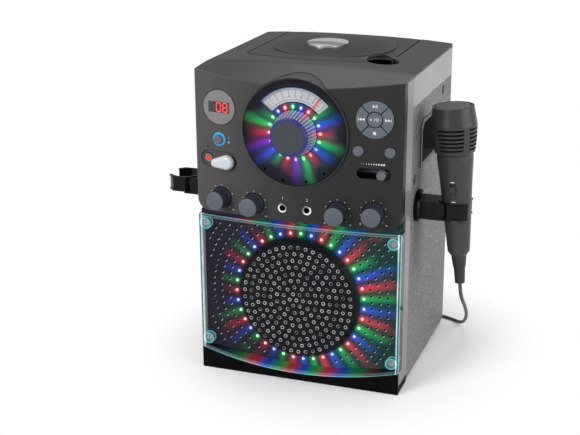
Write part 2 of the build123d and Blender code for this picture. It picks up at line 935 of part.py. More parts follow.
def disc_lid():
    """Top-loading lid with its dome, skirt and hinge barrel with two stub pins."""
    low = platform_height + slip
    left = lid_middle - lid_half_width
    right = lid_middle + lid_half_width
    lid = lid_top() & lid_prism(0, low, dome_top + 1)
    lid = lid - block(left - 1, right + 1, hinge_y, back_y + 1, low - 1, dome_top + 1)
    hollow = crown_block(lid_thickness, half_width, low - 1, front_y, hinge_y - barrel_radius)
    lid = lid - (hollow & lid_prism(-lid_thickness, low - 1, top_height))
    barrel = rod_x(hinge_y, hinge_z, barrel_radius, left, right)
    barrel = barrel & crown_block(0, half_width, low, front_y, back_y)
    lid = lid + barrel
    lid = lid + rod_x(hinge_y, hinge_z, pin_radius, left - lid_groove - pin_length,
                      right + lid_groove + pin_length)
    return lid - rod_z(notch_x, front_y + notch_depth, notch_radius, low - 1, top_height + 1)


def lid_badge():
    """Bright domed oval plate on the lid."""
    y = front_y + badge_depth
    column = extrude(Ellipse(badge_half_width, badge_half_length), amount=dome_rise + 2 * badge_rise)
    low = Pos(badge_x, y, top_height) * column
    seat = Pos(lid_middle, dome_y, dome_top - dome_sphere) * Sphere(dome_sphere)
    fall = badge_rise - badge_rim
    radius = (badge_half_width**2 + fall**2) / (2 * fall)
    cap = Pos(badge_x, y, dome_top + badge_rise - radius) * Sphere(radius)
    return (low & cap) - seat


# ---------------------------------------------------------------- disc mechanism
def turntable():
    """Disc table with its centring hub and a bush for the motor shaft."""
    rest = well_floor + table_gap
    top = rest + table_thickness
    body = rod_z(lid_middle, dome_y, table_radius, rest, top)
    body = body + rod_z(lid_middle, dome_y, hub_radius, top, top + hub_height)
    body = body + rod_z(lid_middle, dome_y, hub_radius / 2, well_floor - wall - hub_foot, rest)
    balls = ring_points(hub_radius - hub_ball_sink, hub_balls, hub_ball_angle)
    for x, y in balls:
        body = body + Pos(lid_middle + x, dome_y + y, top + hub_height / 2) * Sphere(hub_ball_radius)
    bore = motor_shaft_radius + running_gap
    return body - rod_z(lid_middle, dome_y, bore, 0, top + hub_height / 2)


def deck_mechanism():
    """Mechanism plate on posts, with spindle motor, sled motor and two rails."""
    plate_low = plate_top - chassis_thickness
    plate = block(lid_middle - chassis_half_width, lid_middle + chassis_half_width,
                  dome_y - chassis_half_depth, dome_y + chassis_half_depth, plate_low, plate_top)
    parts = [plate]
    for side_x in (-1, 1):
        for side_y in (-1, 1):
            x = lid_middle + side_x * (chassis_half_width - chassis_post_radius)
            y = dome_y + side_y * (chassis_half_depth - chassis_post_radius)
            inside = hypot(x - lid_middle, y - dome_y) < well_radius + wall + chassis_post_radius
            post_top = well_floor - wall if inside else platform_height - wall
            parts.append(rod_z(x, y, chassis_post_radius, plate_top, post_top))
    motor_top = well_floor - wall - motor_drop
    parts.append(rod_z(lid_middle, dome_y, motor_radius, motor_top - motor_length, motor_top))
    parts.append(rod_z(lid_middle, dome_y, motor_shaft_radius, motor_top,
                       well_floor + table_gap + table_thickness))
    start = lid_middle + motor_radius + 1
    end = lid_middle + chassis_half_width
    for side in (-1, 1):
        y = dome_y + side * rail_offset
        parts.append(rod_x(y, rail_z, rail_radius, start, end))
        for x in (start, end):
            near, far = sorted((x, x + (rail_block if x == start else -rail_block)))
            parts.append(block(near, far, y - rail_block_half, y + rail_block_half, plate_top,
                               rail_z + rail_radius + 1))
    gear_x, gear_y = gear_centre()
    parts.append(rod_z(gear_x, gear_y, gear_pin_radius, plate_top, plate_top + gear_pin_height))
    return joined(parts)


def gear_centre():
    """Centre of the sled gear beside the rack, in X and Y."""
    x = lid_middle + pickup_start + pickup_travel / 2
    y = dome_y - sled_reach - rack_thickness + tooth_depth / 2 - gear_radius
    return x, y


def pickup_sled():
    """Laser sled on its rails, with the lens on top and a rack along the front."""
    x = lid_middle + pickup_start
    top = well_floor - slip
    near = x - pickup_length / 2
    far = x + pickup_length / 2
    body = block(near, far, dome_y - pickup_width / 2, dome_y + pickup_width / 2, rail_z - 1, top)
    body = body + block(near, far, dome_y - sled_reach, dome_y + sled_reach,
                        rail_z - sled_arm_height / 2, rail_z + sled_arm_height / 2)
    for side in (-1, 1):
        body = body - rod_x(dome_y + side * rail_offset, rail_z, rail_radius + running_gap, near - 1, far + 1)
    body = body + rod_z(x, dome_y, lens_radius, top - 1, top + lens_height)
    front = dome_y - sled_reach - rack_thickness
    rack_start = x - rack_length / 2
    rack_end = x + rack_length / 2
    rack = block(rack_start, rack_end, front, dome_y - sled_reach, rail_z - rack_height / 2,
                 rail_z + rack_height / 2)
    pitch = tooth_pitch()
    gear_x = gear_centre()[0]
    first = ceil((rack_start - gear_x) / pitch + tooth_share)
    last = floor((rack_end - gear_x) / pitch - tooth_share)
    for index in range(first, last + 1):
        gap_x = gear_x + index * pitch
        rack = rack - block(gap_x - tooth_share * pitch, gap_x + tooth_share * pitch, front - 1,
                            front + tooth_depth, rail_z - rack_height, rail_z + rack_height)
    return body + rack


def tooth_pitch():
    """Distance from tooth to tooth along the gear's pitch circle."""
    return 2 * pi * gear_radius / gear_teeth


def sled_gear():
    """Toothed gear in mesh with the sled's rack."""
    x, y = gear_centre()
    low = rail_z - gear_thickness / 2
    high = rail_z + gear_thickness / 2
    root = gear_radius - tooth_depth / 2 - slip
    tip = gear_radius + tooth_depth / 2 - slip
    half = tooth_share * tooth_pitch() / 2
    gear = rod_z(0, 0, root, low, high)
    tooth = block(0, tip, -half, half, low, high)
    for index in range(gear_teeth):
        gear = gear + Rot(0, 0, 90 + 360 * index / gear_teeth) * tooth
    gear = gear - rod_z(0, 0, gear_pin_radius + running_gap, low - 1, high + 1)
    return Pos(x, y, 0) * gear


# ---------------------------------------------------------------- grille, cover and speaker
def clear_cover():
    """Bowed clear tray with an arched lower edge and four screw bosses."""
    back = front_y + cover_depth
    high = cover_top + cut_margin
    outer = bowed_block(0, half_width, back, 0, cover_top)
    outer = outer & arch_block(half_width, 0, cover_top, front_y - 2 * front_bow, back)
    inner_half = half_width - cover_wall
    inner = bowed_block(cover_wall, inner_half, back + 1, 0, high)
    inner = inner & arch_block(inner_half, cover_wall, cover_top - cover_wall, front_y - 2 * front_bow,
                               back + 1)
    cover = outer - inner
    for x, z in cover_screw_centres():
        boss = rod_y(x, z, cover_boss_radius, front_y - 2 * front_bow, baffle_y - seam)
        cover = cover + (boss & bowed_block(0, half_width, back, 0, high))
        cover = cover - rod_y(x, z, screw_head_radius + seam, front_y - 2 * front_bow, cover_screw_seat)
        cover = cover - rod_y(x, z, screw_shank_radius + running_gap, front_y, baffle_y)
    return cover


def cover_screw_centres():
    points = []
    for side in (-1, 1):
        for z in (cover_boss_high, cover_boss_low):
            points.append((side * cover_boss_x, z))
    return points


def island_solid(inset, shrink):
    """Raised round island of the grille, moved in by inset and shrunk by shrink."""
    back = baffle_y + inset - island_inset
    front = front_y - front_bow + inset - island_inset
    foot = island_foot_radius - shrink
    top = island_top_radius - shrink
    rise = baffle_y - (front_y - front_bow + island_inset)
    tip = top - (foot - top) * (back - front - rise) / rise
    cone = turned_y(((0, front), (tip, front), (foot, back), (0, back)), 0, island_height)
    return cone & bowed_block(inset, island_foot_radius + 1, back + 1, 0, cover_top)


def baffle():
    """Black front baffle: raised drilled island, recessed field and a bar above the cover."""
    half = baffle_half_width
    outer = arch_block(half, baffle_lift, baffle_high, baffle_y, flange_front)
    inner = arch_block(half - wall, baffle_lift + wall, baffle_high - wall, baffle_y + wall, flange_front + 1)
    body = outer - inner
    rim_half = half_width - wall - seam
    opening = arch_block(half - wall, baffle_lift + wall, baffle_high - wall, flange_front - 2 * wall,
                         flange_front + 1)
    flange = arch_block(rim_half, baffle_lift, cover_top + slip + wall, flange_front - wall, flange_front)
    body = body + (flange - opening)
    bar = block(-bar_half_width, bar_half_width, front_y + bar_setback, flange_front,
                cover_top + slip, panel_bottom - slip)
    bar_back = block(-bar_half_width, bar_half_width, front_y + strip_setback, front_y + strip_setback + wall,
                     panel_bottom - 1, bar_top - slip)
    bar = bar - block(-bar_half_width - 1, -rim_half, front_y + cover_notch_setback - slip, flange_front + 1,
                      cover_top, panel_bottom)
    bar = bar - block(rim_half, bar_half_width + 1, front_y + cover_notch_setback - slip, flange_front + 1,
                      cover_top, panel_bottom)
    body = body + bar + bar_back
    body = body + island_solid(island_inset, 0)
    hollow = island_solid(island_inset + wall, wall)
    hollow = hollow + rod_y(0, island_height, island_foot_radius - wall, baffle_y + wall / 2,
                            baffle_y + wall + 1)
    body = body - hollow
    drills = []
    for ring in range(hole_rings + 1):
        count = max(1, round(holes_per_ring * ring))
        for x, z in ring_points(ring * hole_pitch, count):
            drills.append(rod_y(x, island_height + z, hole_radius, front_y - front_bow, baffle_y))
    body = body - drills
    lights = [rod_y(x, island_height + z, light_radius + slip, baffle_y - 1, baffle_y + wall + 1)
              for x, z in ring_points(light_ring_radius, light_count, light_angle)]
    screws = [rod_y(x, z, screw_shank_radius + running_gap, baffle_y - 1, baffle_y + screw_shank_length)
              for x, z in cover_screw_centres()]
    return body - lights - screws


def speaker_light_ring():
    """Ring board behind the recessed field with its ring of lamps."""
    front = baffle_y + wall
    back = front + light_board_thickness
    board = rod_y(0, island_height, light_board_outer, front, back)
    board = board - rod_y(0, island_height, light_board_inner, front - 1, back + 1)
    lamps = [turned_y(((0, front - light_length), (light_radius * light_tip_share, front - light_length),
                       (light_radius, front - light_length + light_tip_length),
                       (light_radius, front + 1), (0, front + 1)),
                      x, island_height + z)
             for x, z in ring_points(light_ring_radius, light_count, light_angle)]
    return board + lamps


def speaker_frame():
    """Pressed basket with its flange, four windows and the magnet."""
    front = baffle_y + wall + light_board_thickness
    back = front + speaker_depth
    shoulder = speaker_throat_radius + basket_wall
    profile = ((speaker_throat_radius, front), (speaker_flange_radius, front),
               (speaker_flange_radius, front + speaker_flange_thickness),
               (shoulder, front + speaker_flange_thickness), (speaker_back_radius, back),
               (0, back), (0, back - basket_wall), (speaker_back_radius - basket_wall, back - basket_wall),
               (speaker_throat_radius, front + speaker_flange_thickness))
    frame = turned_y(profile, 0, island_height)
    window_low = front + 2 * speaker_flange_thickness + basket_wall
    for index in range(basket_windows):
        cutter = block(-magnet_radius / 2, magnet_radius / 2, window_low, back - basket_floor_gap,
                       speaker_back_radius, speaker_flange_radius)
        frame = frame - Pos(0, 0, island_height) * Rot(0, 360 * (index + 0.5) / basket_windows, 0) * cutter
    return frame + rod_y(0, island_height, magnet_radius, back, back + magnet_thickness)


def speaker_cone():
    """Paper cone with its rolled edge, dust cap and voice coil tube."""
    front = baffle_y + wall + light_board_thickness
    back = front + speaker_depth - basket_wall
    edge = speaker_throat_radius - seam
    neck = front + speaker_depth * cone_neck_share
    profile = ((edge, front), (edge, front + 2 * cone_thickness),
               (edge - cone_roll, front + 2 * cone_thickness),
               (voice_coil_radius + cone_thickness, neck + cone_thickness),
               (voice_coil_radius + cone_thickness, back), (voice_coil_radius, back),
               (voice_coil_radius, neck - cap_rim), (0, neck - 2 * cap_rim),
               (0, neck - 2 * cap_rim - cone_thickness),
               (voice_coil_radius + 2 * cone_thickness, neck - cap_rim - cone_thickness),
               (edge - cone_roll, front))
    return turned_y(profile, 0, island_height)


# ---------------------------------------------------------------- dial
def dial_sector(inner, outer, half_angle, y0, y1):
    """Sector of a ring round the dial's centre, upright, run along Y."""
    start = radians(90 - half_angle)
    end = radians(90 + half_angle)

    def at(radius, angle):
        return Vector(radius * cos(angle), 0, dial_height + radius * sin(angle))

    far = ThreePointArc(at(outer, start), at(outer, pi / 2), at(outer, end))
    near = ThreePointArc(at(inner, end), at(inner, pi / 2), at(inner, start))
    sides = Line(at(outer, end), at(inner, end)) + Line(at(inner, start), at(outer, start))
    return profile_block((far + near + sides).edges(), y0, y1)


def dial_housing():
    """Round black cup whose upper edge makes the visor through the scoop."""
    front = front_y + dial_front
    back = front_y + housing_back
    cup = rod_y(0, dial_height, housing_radius, front, back)
    cup = cup - rod_y(0, dial_height, housing_radius - housing_wall, front - 1, back - housing_wall)
    return cup - rod_y(0, dial_height, pot_radius + slip, back - housing_wall - 1, back + 1)


def dial_face():
    """Glossy round face with the scale window, a hole for the knob and lamp holes."""
    face = rod_y(0, dial_height, housing_radius - housing_wall - slip, face_y, face_back)
    face = face - rod_y(0, dial_height, face_hole_radius, face_y - 1, face_back + 1)
    face = face - dial_sector(window_inner, window_outer, window_half_angle, face_y - 1, face_back + 1)
    holes = [rod_y(x, dial_height + z, dial_light_size + slip / 2, face_y - 1, face_back + 1)
             for x, z in ring_points(dial_light_radius, dial_light_count, dial_light_angle)]
    holes += [rod_y(x, z, indicator_radius, face_y - 1, face_back + 1) for x, z in indicator_points]
    return face - holes


def dial_scale():
    """Pale plate behind the window, carried by the housing."""
    front = face_back + scale_drop
    return dial_sector(window_inner + scale_inset, housing_radius - housing_wall,
                       window_half_angle + scale_extra_angle,
                       front, front + scale_thickness)


def dial_needle():
    """Needle on a hub round the knob's stem, its blade in front of the scale."""
    blade_y = face_back + needle_gap
    arm_y = face_back + dial_light_length - face_thickness + dial_board_thickness + needle_gap
    riser_inner = dial_board_outer + needle_gap
    riser_outer = riser_inner + needle_riser
    half = needle_width / 2
    blade = block(-half, half, blade_y, blade_y + needle_thickness, riser_inner, needle_reach)
    riser = block(-half, half, blade_y, arm_y + needle_thickness, riser_inner, riser_outer)
    arm = block(-half, half, arm_y, arm_y + needle_thickness, 0, riser_outer)
    hub = turned_y(((0, arm_y), (needle_hub_radius, arm_y), (needle_hub_radius, arm_y + needle_hub_length),
                    (0, arm_y + needle_hub_length)), 0, 0)
    bore = turned_y(((0, arm_y - 1), (stem_radius + running_gap, arm_y - 1),
                     (stem_radius + running_gap, arm_y + needle_hub_length + 1),
                     (0, arm_y + needle_hub_length + 1)), 0, 0)
    needle = joined([blade, riser, arm, hub]) - bore
    return Pos(0, 0, dial_height) * Rot(0, needle_angle, 0) * needle


def dial_light_ring():
    """Ring board behind the face with its lamps standing through the holes."""
    front = face_back + dial_light_length - face_thickness
    back = front + dial_board_thickness
    board = rod_y(0, dial_height, dial_board_outer, front, back)
    board = board - rod_y(0, dial_height, dial_board_inner, front - 1, back + 1)
    tip = front - dial_light_length
    lamps = [turned_y(((0, tip), (dial_light_size * dial_tip_share, tip),
                       (dial_light_size, tip + dial_tip_length),
                       (dial_light_size, front + 1), (0, front + 1)), x, dial_height + z)
             for x, z in ring_points(dial_light_radius, dial_light_count, dial_light_angle)]
    return board + lamps


def volume_knob():
    """Large fluted knob with a raised cap and its stem."""
    front = front_y + volume_front
    seat = face_y + face_thickness / 2
    cap_back = front + volume_cap_length
    neck = volume_cap_radius + volume_step
    stem_end = board_y - pot_length + pot_bore_depth - slip
    profile = ((0, front), (volume_cap_radius - volume_bevel, front),
               (volume_cap_radius, front + volume_bevel),
               (volume_cap_radius, cap_back), (neck, cap_back), (volume_base_radius, seat),
               (stem_radius, seat), (stem_radius, stem_end), (0, stem_end))
    knob = turned_y(profile, 0, dial_height)
    slope = degrees(atan2(volume_base_radius - neck, seat - cap_back))
    length = hypot(volume_base_radius - neck, seat - cap_back)
    flute = Pos(0, cap_back, neck + flute_radius - flute_depth) * Rot(slope, 0, 0)
    flute = flute * rod_y(0, 0, flute_radius, 0, length + 1)
    flutes = [Pos(0, 0, dial_height) * Rot(0, 360 * index / volume_flutes, 0) * flute
              for index in range(volume_flutes)]
    return knob - flutes


# ---------------------------------------------------------------- controls
def before_board(solid):
    """The part of a solid that lies in front of the control board."""
    return solid & block(-half_width, half_width, front_y - width, board_y, 0, 2 * top_height)


def small_knob(x, z):
    """Fluted knob with a domed cap, its stem reaching into the control behind."""
    top = knob_length
    dome = (knob_radius**2 + knob_dome**2) / (2 * knob_dome)
    body = turned_z(((0, -knob_sink), (knob_base_radius, -knob_sink), (knob_base_radius, knob_collar),
                     (knob_radius, knob_collar + knob_collar_step), (knob_radius - knob_bevel, top),
                     (0, top)))
    body = body & (Pos(0, 0, top - dome) * Sphere(dome))
    flutes = []
    flute_low = knob_collar + knob_collar_step
    flute_high = top - knob_dome
    for fx, fy in ring_points(knob_radius + flute_radius - flute_depth, knob_flutes):
        flute = Cylinder(flute_radius, flute_high - flute_low)
        flutes.append(Pos(fx, fy, (flute_low + flute_high) / 2) * flute)
    body = body - flutes
    place = front_place(x, z)
    stem_end = depth_to(place, board_y - pot_length) + pot_bore_depth - slip
    stem = Pos(0, 0, -(stem_end + knob_sink) / 2) * Cylinder(stem_radius, stem_end - knob_sink)
    return place * (body + stem)


def depth_to(place, y):
    """Distance from a place on the front, inward along its normal, to the plane at y."""
    return (place.position.Y - y) / Plane(place).z_dir.Y


def control_pots():
    """Rotary controls for the five knobs and the slide control's housing."""
    pots = []
    for x, z in knob_centres():
        place = front_place(x, z)
        depth_in = depth_to(place, board_y - pot_length)
        body = Pos(0, 0, -depth_in - pot_length) * Cylinder(pot_radius, 2 * pot_length)
        bore = Pos(0, 0, -depth_in) * Cylinder(stem_radius + running_gap, 2 * pot_bore_depth)
        pots.append(before_board(place * (body - bore)))
    front = board_y - pot_length
    volume = rod_y(0, dial_height, pot_radius, front, board_y)
    pots.append(volume - rod_y(0, dial_height, stem_radius + running_gap, front - 1, front + pot_bore_depth))
    place = front_place(slot_x, slot_height)
    depth_in = depth_to(place, board_y - pot_length)
    housing_length = slot_length + 2 * slider_housing_wall
    housing_width = slider_stem_width + 2 * slider_housing_wall
    housing = Pos(0, 0, -depth_in - pot_length) * Box(housing_length, housing_width, 2 * pot_length)
    groove = Pos(0, 0, -depth_in) * Box(slot_length, slider_stem_width + 2 * slip, pot_bore_depth * 2)
    pots.append(before_board(place * (housing - groove)))
    return group(pots)


def pad_offsets():
    """Centres of the pad's hub and its four sectors, on the pad's own plane."""
    reach = (pad_hub_radius + pad_radius) / 2
    return [(0, 0), (0, reach), (0, -reach), (-reach, 0), (reach, 0)]


def button_places():
    """Places of the push buttons on the bowed front, each with its travel."""
    pad = front_place(pad_x, pad_height)
    places = [(pad * Pos(dx, dy, 0), button_travel) for dx, dy in pad_offsets()]
    for x in (mode_button_x, repeat_button_x):
        places.append((front_place(x, round_button_height), button_travel))
    places.append((front_place(record_x, recess_height), button_travel))
    places.append((front_place(power_x, power_height), power_travel))
    return places


def control_board():
    """Upright board behind the fascia with its switches and the digit block."""
    board = block(-board_half_width, board_half_width, board_y, flange_front, board_low, board_high)
    board = board - rod_y(0, dial_height, stem_radius, board_y - 1, flange_front + 1)
    for place, travel in button_places():
        depth_in = depth_to(place, board_y - switch_length)
        switch = Pos(0, 0, -depth_in - switch_length) * Cylinder(switch_radius, 2 * switch_length)
        bore = Pos(0, 0, -depth_in) * Cylinder(button_stem_radius + slip, 2 * (stem_reach + travel + slip))
        board = board + before_board(place * (switch - bore))
    depth_in = display_thickness + slip
    digits = Pos(0, 0, -depth_in - width / 2) * Box(display_block_width, display_block_height, width)
    return board + before_board(front_place(display_x, display_height) * digits)


def button_stem(place):
    """Round stem from a cap at a place on the front down into its switch."""
    end = depth_to(place, board_y - switch_length) + stem_reach
    return Pos(0, 0, -(button_thickness + end) / 2) * Cylinder(button_stem_radius, end - button_thickness)


def round_button(x, z, radius, stand):
    """Domed round push button with its stem."""
    edge = radius * button_edge_share
    cap = turned_z(((0, -button_thickness), (radius, -button_thickness), (radius, stand - edge),
                    (radius - edge, stand), (0, stand)))
    place = front_place(x, z)
    return place * (cap + button_stem(place))


def pad_buttons():
    """Hub and four sector buttons of the transport pad, in the order of their offsets."""
    height = button_thickness + pad_stand
    middle = Pos(0, 0, pad_stand - height / 2)
    hub = middle * Cylinder(pad_hub_radius - pad_gap / 2, height)
    ring = middle * (Cylinder(pad_radius, height) - Cylinder(pad_hub_radius + pad_gap / 2, height))
    for turn in (45, 135):
        ring = ring - middle * Rot(0, 0, turn) * Box(3 * pad_radius, pad_gap, 2 * height)
    caps = hub.solids() + ring.solids()
    pad = front_place(pad_x, pad_height)
    buttons = []
    for dx, dy in pad_offsets():
        cap = min(caps, key=lambda solid: (solid.center() - Vector(dx, dy, 0)).length)
        place = pad * Pos(dx, dy, 0)
        buttons.append(pad * cap + place * button_stem(place))
    return buttons


def disco_slider():
    """Round slider knob with a flat stem into the slide control."""
    place = front_place(slot_x, slot_height)
    depth_in = depth_to(place, board_y - pot_length)
    knob = turned_z(((0, -wall), (slider_radius, -wall), (slider_radius, slider_stand - slider_bevel),
                     (slider_radius - slider_bevel, slider_stand), (0, slider_stand)))
    length = depth_in + pot_bore_depth - slip
    stem = Pos(0, 0, -length / 2) * Box(slider_stem_height, slider_stem_width, length)
    return place * Pos(slider_rest, 0, 0) * (knob + stem)


def power_ring():
    """Clear light ring round the power button."""
    ring = turned_z(((power_radius + slip, -wall), (power_ring_radius, -wall),
                     (power_ring_radius, 0), (power_ring_radius - power_ring_bevel, power_ring_stand),
                     (power_radius + slip, power_ring_stand)))
    return front_place(power_x, power_height) * ring


def display_window():
    disc = Pos(0, 0, display_stand - display_thickness / 2) * Cylinder(display_radius, display_thickness)
    return front_place(display_x, display_height) * disc


def usb_port():
    """Metal shell of the port behind the recess."""
    outer = Box(usb_width, usb_thickness, usb_reach)
    inner = Box(usb_width - 2 * usb_shell, usb_thickness - 2 * usb_shell, usb_reach + 1)
    place = front_place(usb_x, usb_height)
    return place * Pos(0, 0, -recess_depth - usb_reach / 2) * (outer - Pos(0, 0, 2 * usb_shell) * inner)


def usb_stick():
    """Pebble-shaped memory stick with its metal plug in the port."""
    big = stick_height / 2
    small = big * stick_taper
    span = stick_length - big - small
    ends = (Pos(span / 2, 0) * Circle(big)).edges() + (Pos(-span / 2, 0) * Circle(small)).edges()
    outline = make_hull(ends)
    shell = extrude(outline, amount=stick_thickness)
    shell = fillet(shell.edges().group_by(Axis.Z)[-1], stick_thickness * stick_front_round)
    shell = fillet(shell.edges().group_by(Axis.Z)[0], stick_thickness * stick_back_round)
    shell = Rot(0, 0, stick_tilt) * shell
    plug_length = stick_stand + usb_reach - 2 * usb_shell
    plug = Box(usb_width - 2 * usb_shell - 2 * slip, usb_thickness - 2 * usb_shell - 2 * slip,
               plug_length + 2)
    plug = Pos(0, 0, 1 - plug_length / 2) * plug
    return front_place(usb_x, usb_height) * Pos(0, 0, stick_stand - recess_depth) * (shell + plug)


def mic_jacks():
    """Two panel jacks with bright rings, for 6.3 mm plugs."""
    jacks = []
    seat = -wall - seam
    for side in (-1, 1):
        x = side * jack_x
        body = turned_z(((jack_bore_radius, seat - jack_length), (jack_body_radius, seat - jack_length),
                         (jack_body_radius, seat), (jack_bush_radius, seat),
                         (jack_bush_radius, jack_ring_gap), (jack_ring_radius, jack_ring_gap),
                         (jack_ring_radius - jack_ring_bevel, jack_stand), (jack_bore_radius, jack_stand)))
        jacks.append(front_place(x, jack_height) * body)
    return group(jacks)


# ---------------------------------------------------------------- sides, back and inside
def case_screws():
    """Cover screws, side screws and base screws, all alike."""
    one = screw(screw_head_radius, screw_head_height, screw_shank_radius, screw_shank_length)
    screws = []
    for x, z in cover_screw_centres():
        screws.append(Pos(x, cover_screw_seat, z) * Rot(90, 0, 0) * one)
    for side in (-1, 1):
        for depth_in, height in screw_points:
            place = Pos(side * (half_width - screw_cup_depth), front_y + depth_in, height)
            screws.append(place * Rot(0, side * 90, 0) * one)
    for x, y in base_screw_centres():
        screws.append(Pos(x, y, base_counterbore) * Rot(180, 0, 0) * one)
    return group(screws)


def base_screw_centres():
    inset = base_screw_inset
    return [(side * (half_width - inset), y) for side in (-1, 1)
            for y in (strip_back + inset, back_y - inset)]


def grip_pockets():
    """Black grip pockets let into both sides, each with a raised rim."""
    pockets = []
    for side in (-1, 1):
        tub = pocket_space(side, 0, half_width, half_width - pocket_depth)
        rim = pocket_space(side, pocket_rim, half_width + pocket_rim_stand, half_width)
        hollow = pocket_space(side, -pocket_wall, half_width + pocket_rim_stand + 1,
                              half_width - pocket_depth + pocket_wall)
        pockets.append(tub + rim - hollow)
    return group(pockets)


def mic_axis():
    """Direction up along the leaning microphone."""
    return Vector(-sin(radians(mic_lean)), 0, cos(radians(mic_lean)))


def mic_place():
    """Place of the microphone: origin at its top, Z up its axis, X to the front."""
    middle = Vector(clip_ring_x, front_y + clip_depth, (clip_ring_low + clip_ring_high) / 2)
    top = middle + mic_axis() * mic_reach
    return Location(Plane(origin=top, x_dir=(0, -1, 0), z_dir=mic_axis()))


def grip_radius(distance):
    """Radius of the tapered grip at a distance from the microphone's top."""
    share = (distance - grip_start) / (grip_end - grip_start)
    return grip_start_radius + share * (grip_end_radius - grip_start_radius)


def mic_clip():
    """Right-hand microphone clip: wall disc, neck and open eight-sided ring."""
    y = front_y + clip_depth
    disc = rod_x(y, clip_disc_height, clip_disc_radius, half_width, half_width + clip_disc_thickness)
    disc = chamfer(disc.edges().filter_by(GeomType.CIRCLE).sort_by(Axis.X)[-1], clip_disc_chamfer)
    neck = block(half_width + clip_disc_thickness - 1, clip_ring_x, y - neck_half_width, y + neck_half_width,
                 neck_low, neck_high)
    ring = Pos(clip_ring_x, y, clip_ring_low) * extrude(octagon(clip_ring_apothem),
                                                        amount=clip_ring_high - clip_ring_low)
    lips = []
    for low in (clip_ring_low, clip_ring_high - clip_lip_height):
        lips.append(Pos(clip_ring_x, y, low) * extrude(octagon(clip_ring_apothem + clip_lip),
                                                       amount=clip_lip_height))
    clip = joined([disc, neck, ring] + lips)
    high_s = mic_reach - (clip_ring_high - clip_ring_low)
    low_s = mic_reach + (clip_ring_high - clip_ring_low)
    bore = turned_z(((0, -high_s), (grip_radius(high_s) + mic_clearance, -high_s),
                     (grip_radius(low_s) + mic_clearance, -low_s), (0, -low_s)))
    clip = clip - mic_place() * bore
    reach = 2 * clip_ring_apothem
    spread = reach * tan(radians(clip_half_gap))
    wedge = make_face(Polyline((clip_ring_x, y), (clip_ring_x + reach, y - spread),
                               (clip_ring_x + reach, y + spread), close=True))
    clip = clip - Pos(0, 0, clip_ring_low - 1) * extrude(wedge, amount=clip_ring_high - clip_ring_low + 2)
    return clip - rod_x(y, clip_disc_height, screw_shank_radius + running_gap, half_width - 1,
                        half_width + clip_disc_thickness + 8)


def octagon(apothem):
    return Rot(0, 0, 22.5) * RegularPolygon(apothem, 8, major_radius=False)


def mic_body():
    """Microphone housing: vented head, neck ring and tapered grip."""
    outline = [(0, -mesh_height)] + [(head_profile[0][0] - mesh_rim, -mesh_height),
                                     (head_profile[0][0] - mesh_rim, 0)]
    outline += [(radius, -distance) for radius, distance in head_profile]
    outline += [(neck_ring_radius, -head_profile[-1][1] - 2), (neck_ring_radius, -neck_ring_end),
                (grip_start_radius, -grip_start), (grip_end_radius, -grip_end), (tail_radius, -tail_end),
                (relief_top_radius, -relief_start), (0, -relief_start)]
    body = turned_z(outline)
    core = head_profile[-1][0] - vent_depth
    body = body - Pos(0, 0, -(mesh_height + vent_end) / 2) * Cylinder(core, vent_end - mesh_height)
    grooves = []
    for row in range(vent_rows):
        s = vent_first + row * vent_pitch
        groove = Pos(0, 0, -s - vent_height / 2) * Cylinder(2 * head_profile[0][0], vent_height)
        groove = groove - Pos(0, 0, -s - vent_height / 2) * Cylinder(core - 1, vent_height + 1)
        for rib in range(vent_ribs):
            turn = Rot(0, 0, 360 / vent_ribs * (rib + 0.5))
            bar = Box(2 * head_profile[0][0], vent_rib_width, 4 * vent_height)
            groove = groove - turn * Pos(head_profile[0][0], 0, -s) * bar
        grooves.append(groove)
    for groove in grooves:
        body = body - groove
    pocket = switch_box(switch_plate_length, switch_plate_width, switch_plate_depth, switch_plate_depth + 4)
    return mic_place() * (body - pocket)


def switch_box(length, box_width, sink, height):
    """Box let into the front of the grip, its long side along the axis."""
    middle = switch_top + switch_plate_length / 2
    radius = grip_radius(middle)
    return Pos(radius - sink + height / 2, 0, -middle) * Box(height, box_width, length)


def mic_grille():
    """Mesh disc in the top rim with the foam core behind the vents."""
    rim = head_profile[0][0] - mesh_rim - seam / 2
    core = head_profile[-1][0] - vent_depth - seam / 2
    disc = turned_z(((0, -mesh_height), (rim, -mesh_height), (rim, -mesh_crown),
                     (rim * mesh_flat_share, 0), (0, 0)))
    plug = Pos(0, 0, -(mesh_height + vent_end) / 2) * Cylinder(core, vent_end - mesh_height)
    return mic_place() * (disc + plug)


def mic_switch():
    """Slide switch in the front of the grip."""
    middle = switch_top + switch_plate_length / 2 - switch_slide / 2
    radius = grip_radius(middle)
    floor = grip_radius(switch_top + switch_plate_length / 2) - switch_plate_depth + switch_floor_gap
    high = radius + switch_knob_stand
    body = Pos((floor + high) / 2, 0, -middle) * Box(high - floor, switch_plate_width - 2 * slip,
                                                     switch_knob_length)
    return mic_place() * body


def mic_strain_relief():
    """Collar and tapered rubber sleeve at the lower end."""
    return mic_place() * turned_z(((0, -relief_start), (relief_top_radius - seam, -relief_start),
                                   (collar_radius, -collar_end), (collar_radius - collar_step, -collar_end),
                                   (relief_radius, -relief_end + relief_tip), (relief_radius, -relief_end),
                                   (0, -relief_end)))


def cord_route():
    """Corner points of the loose cord, from the strain relief to its coil."""
    start = (mic_place() * Pos(0, 0, -relief_end)).position
    return [start] + [Vector(*point) for point in cord_points]


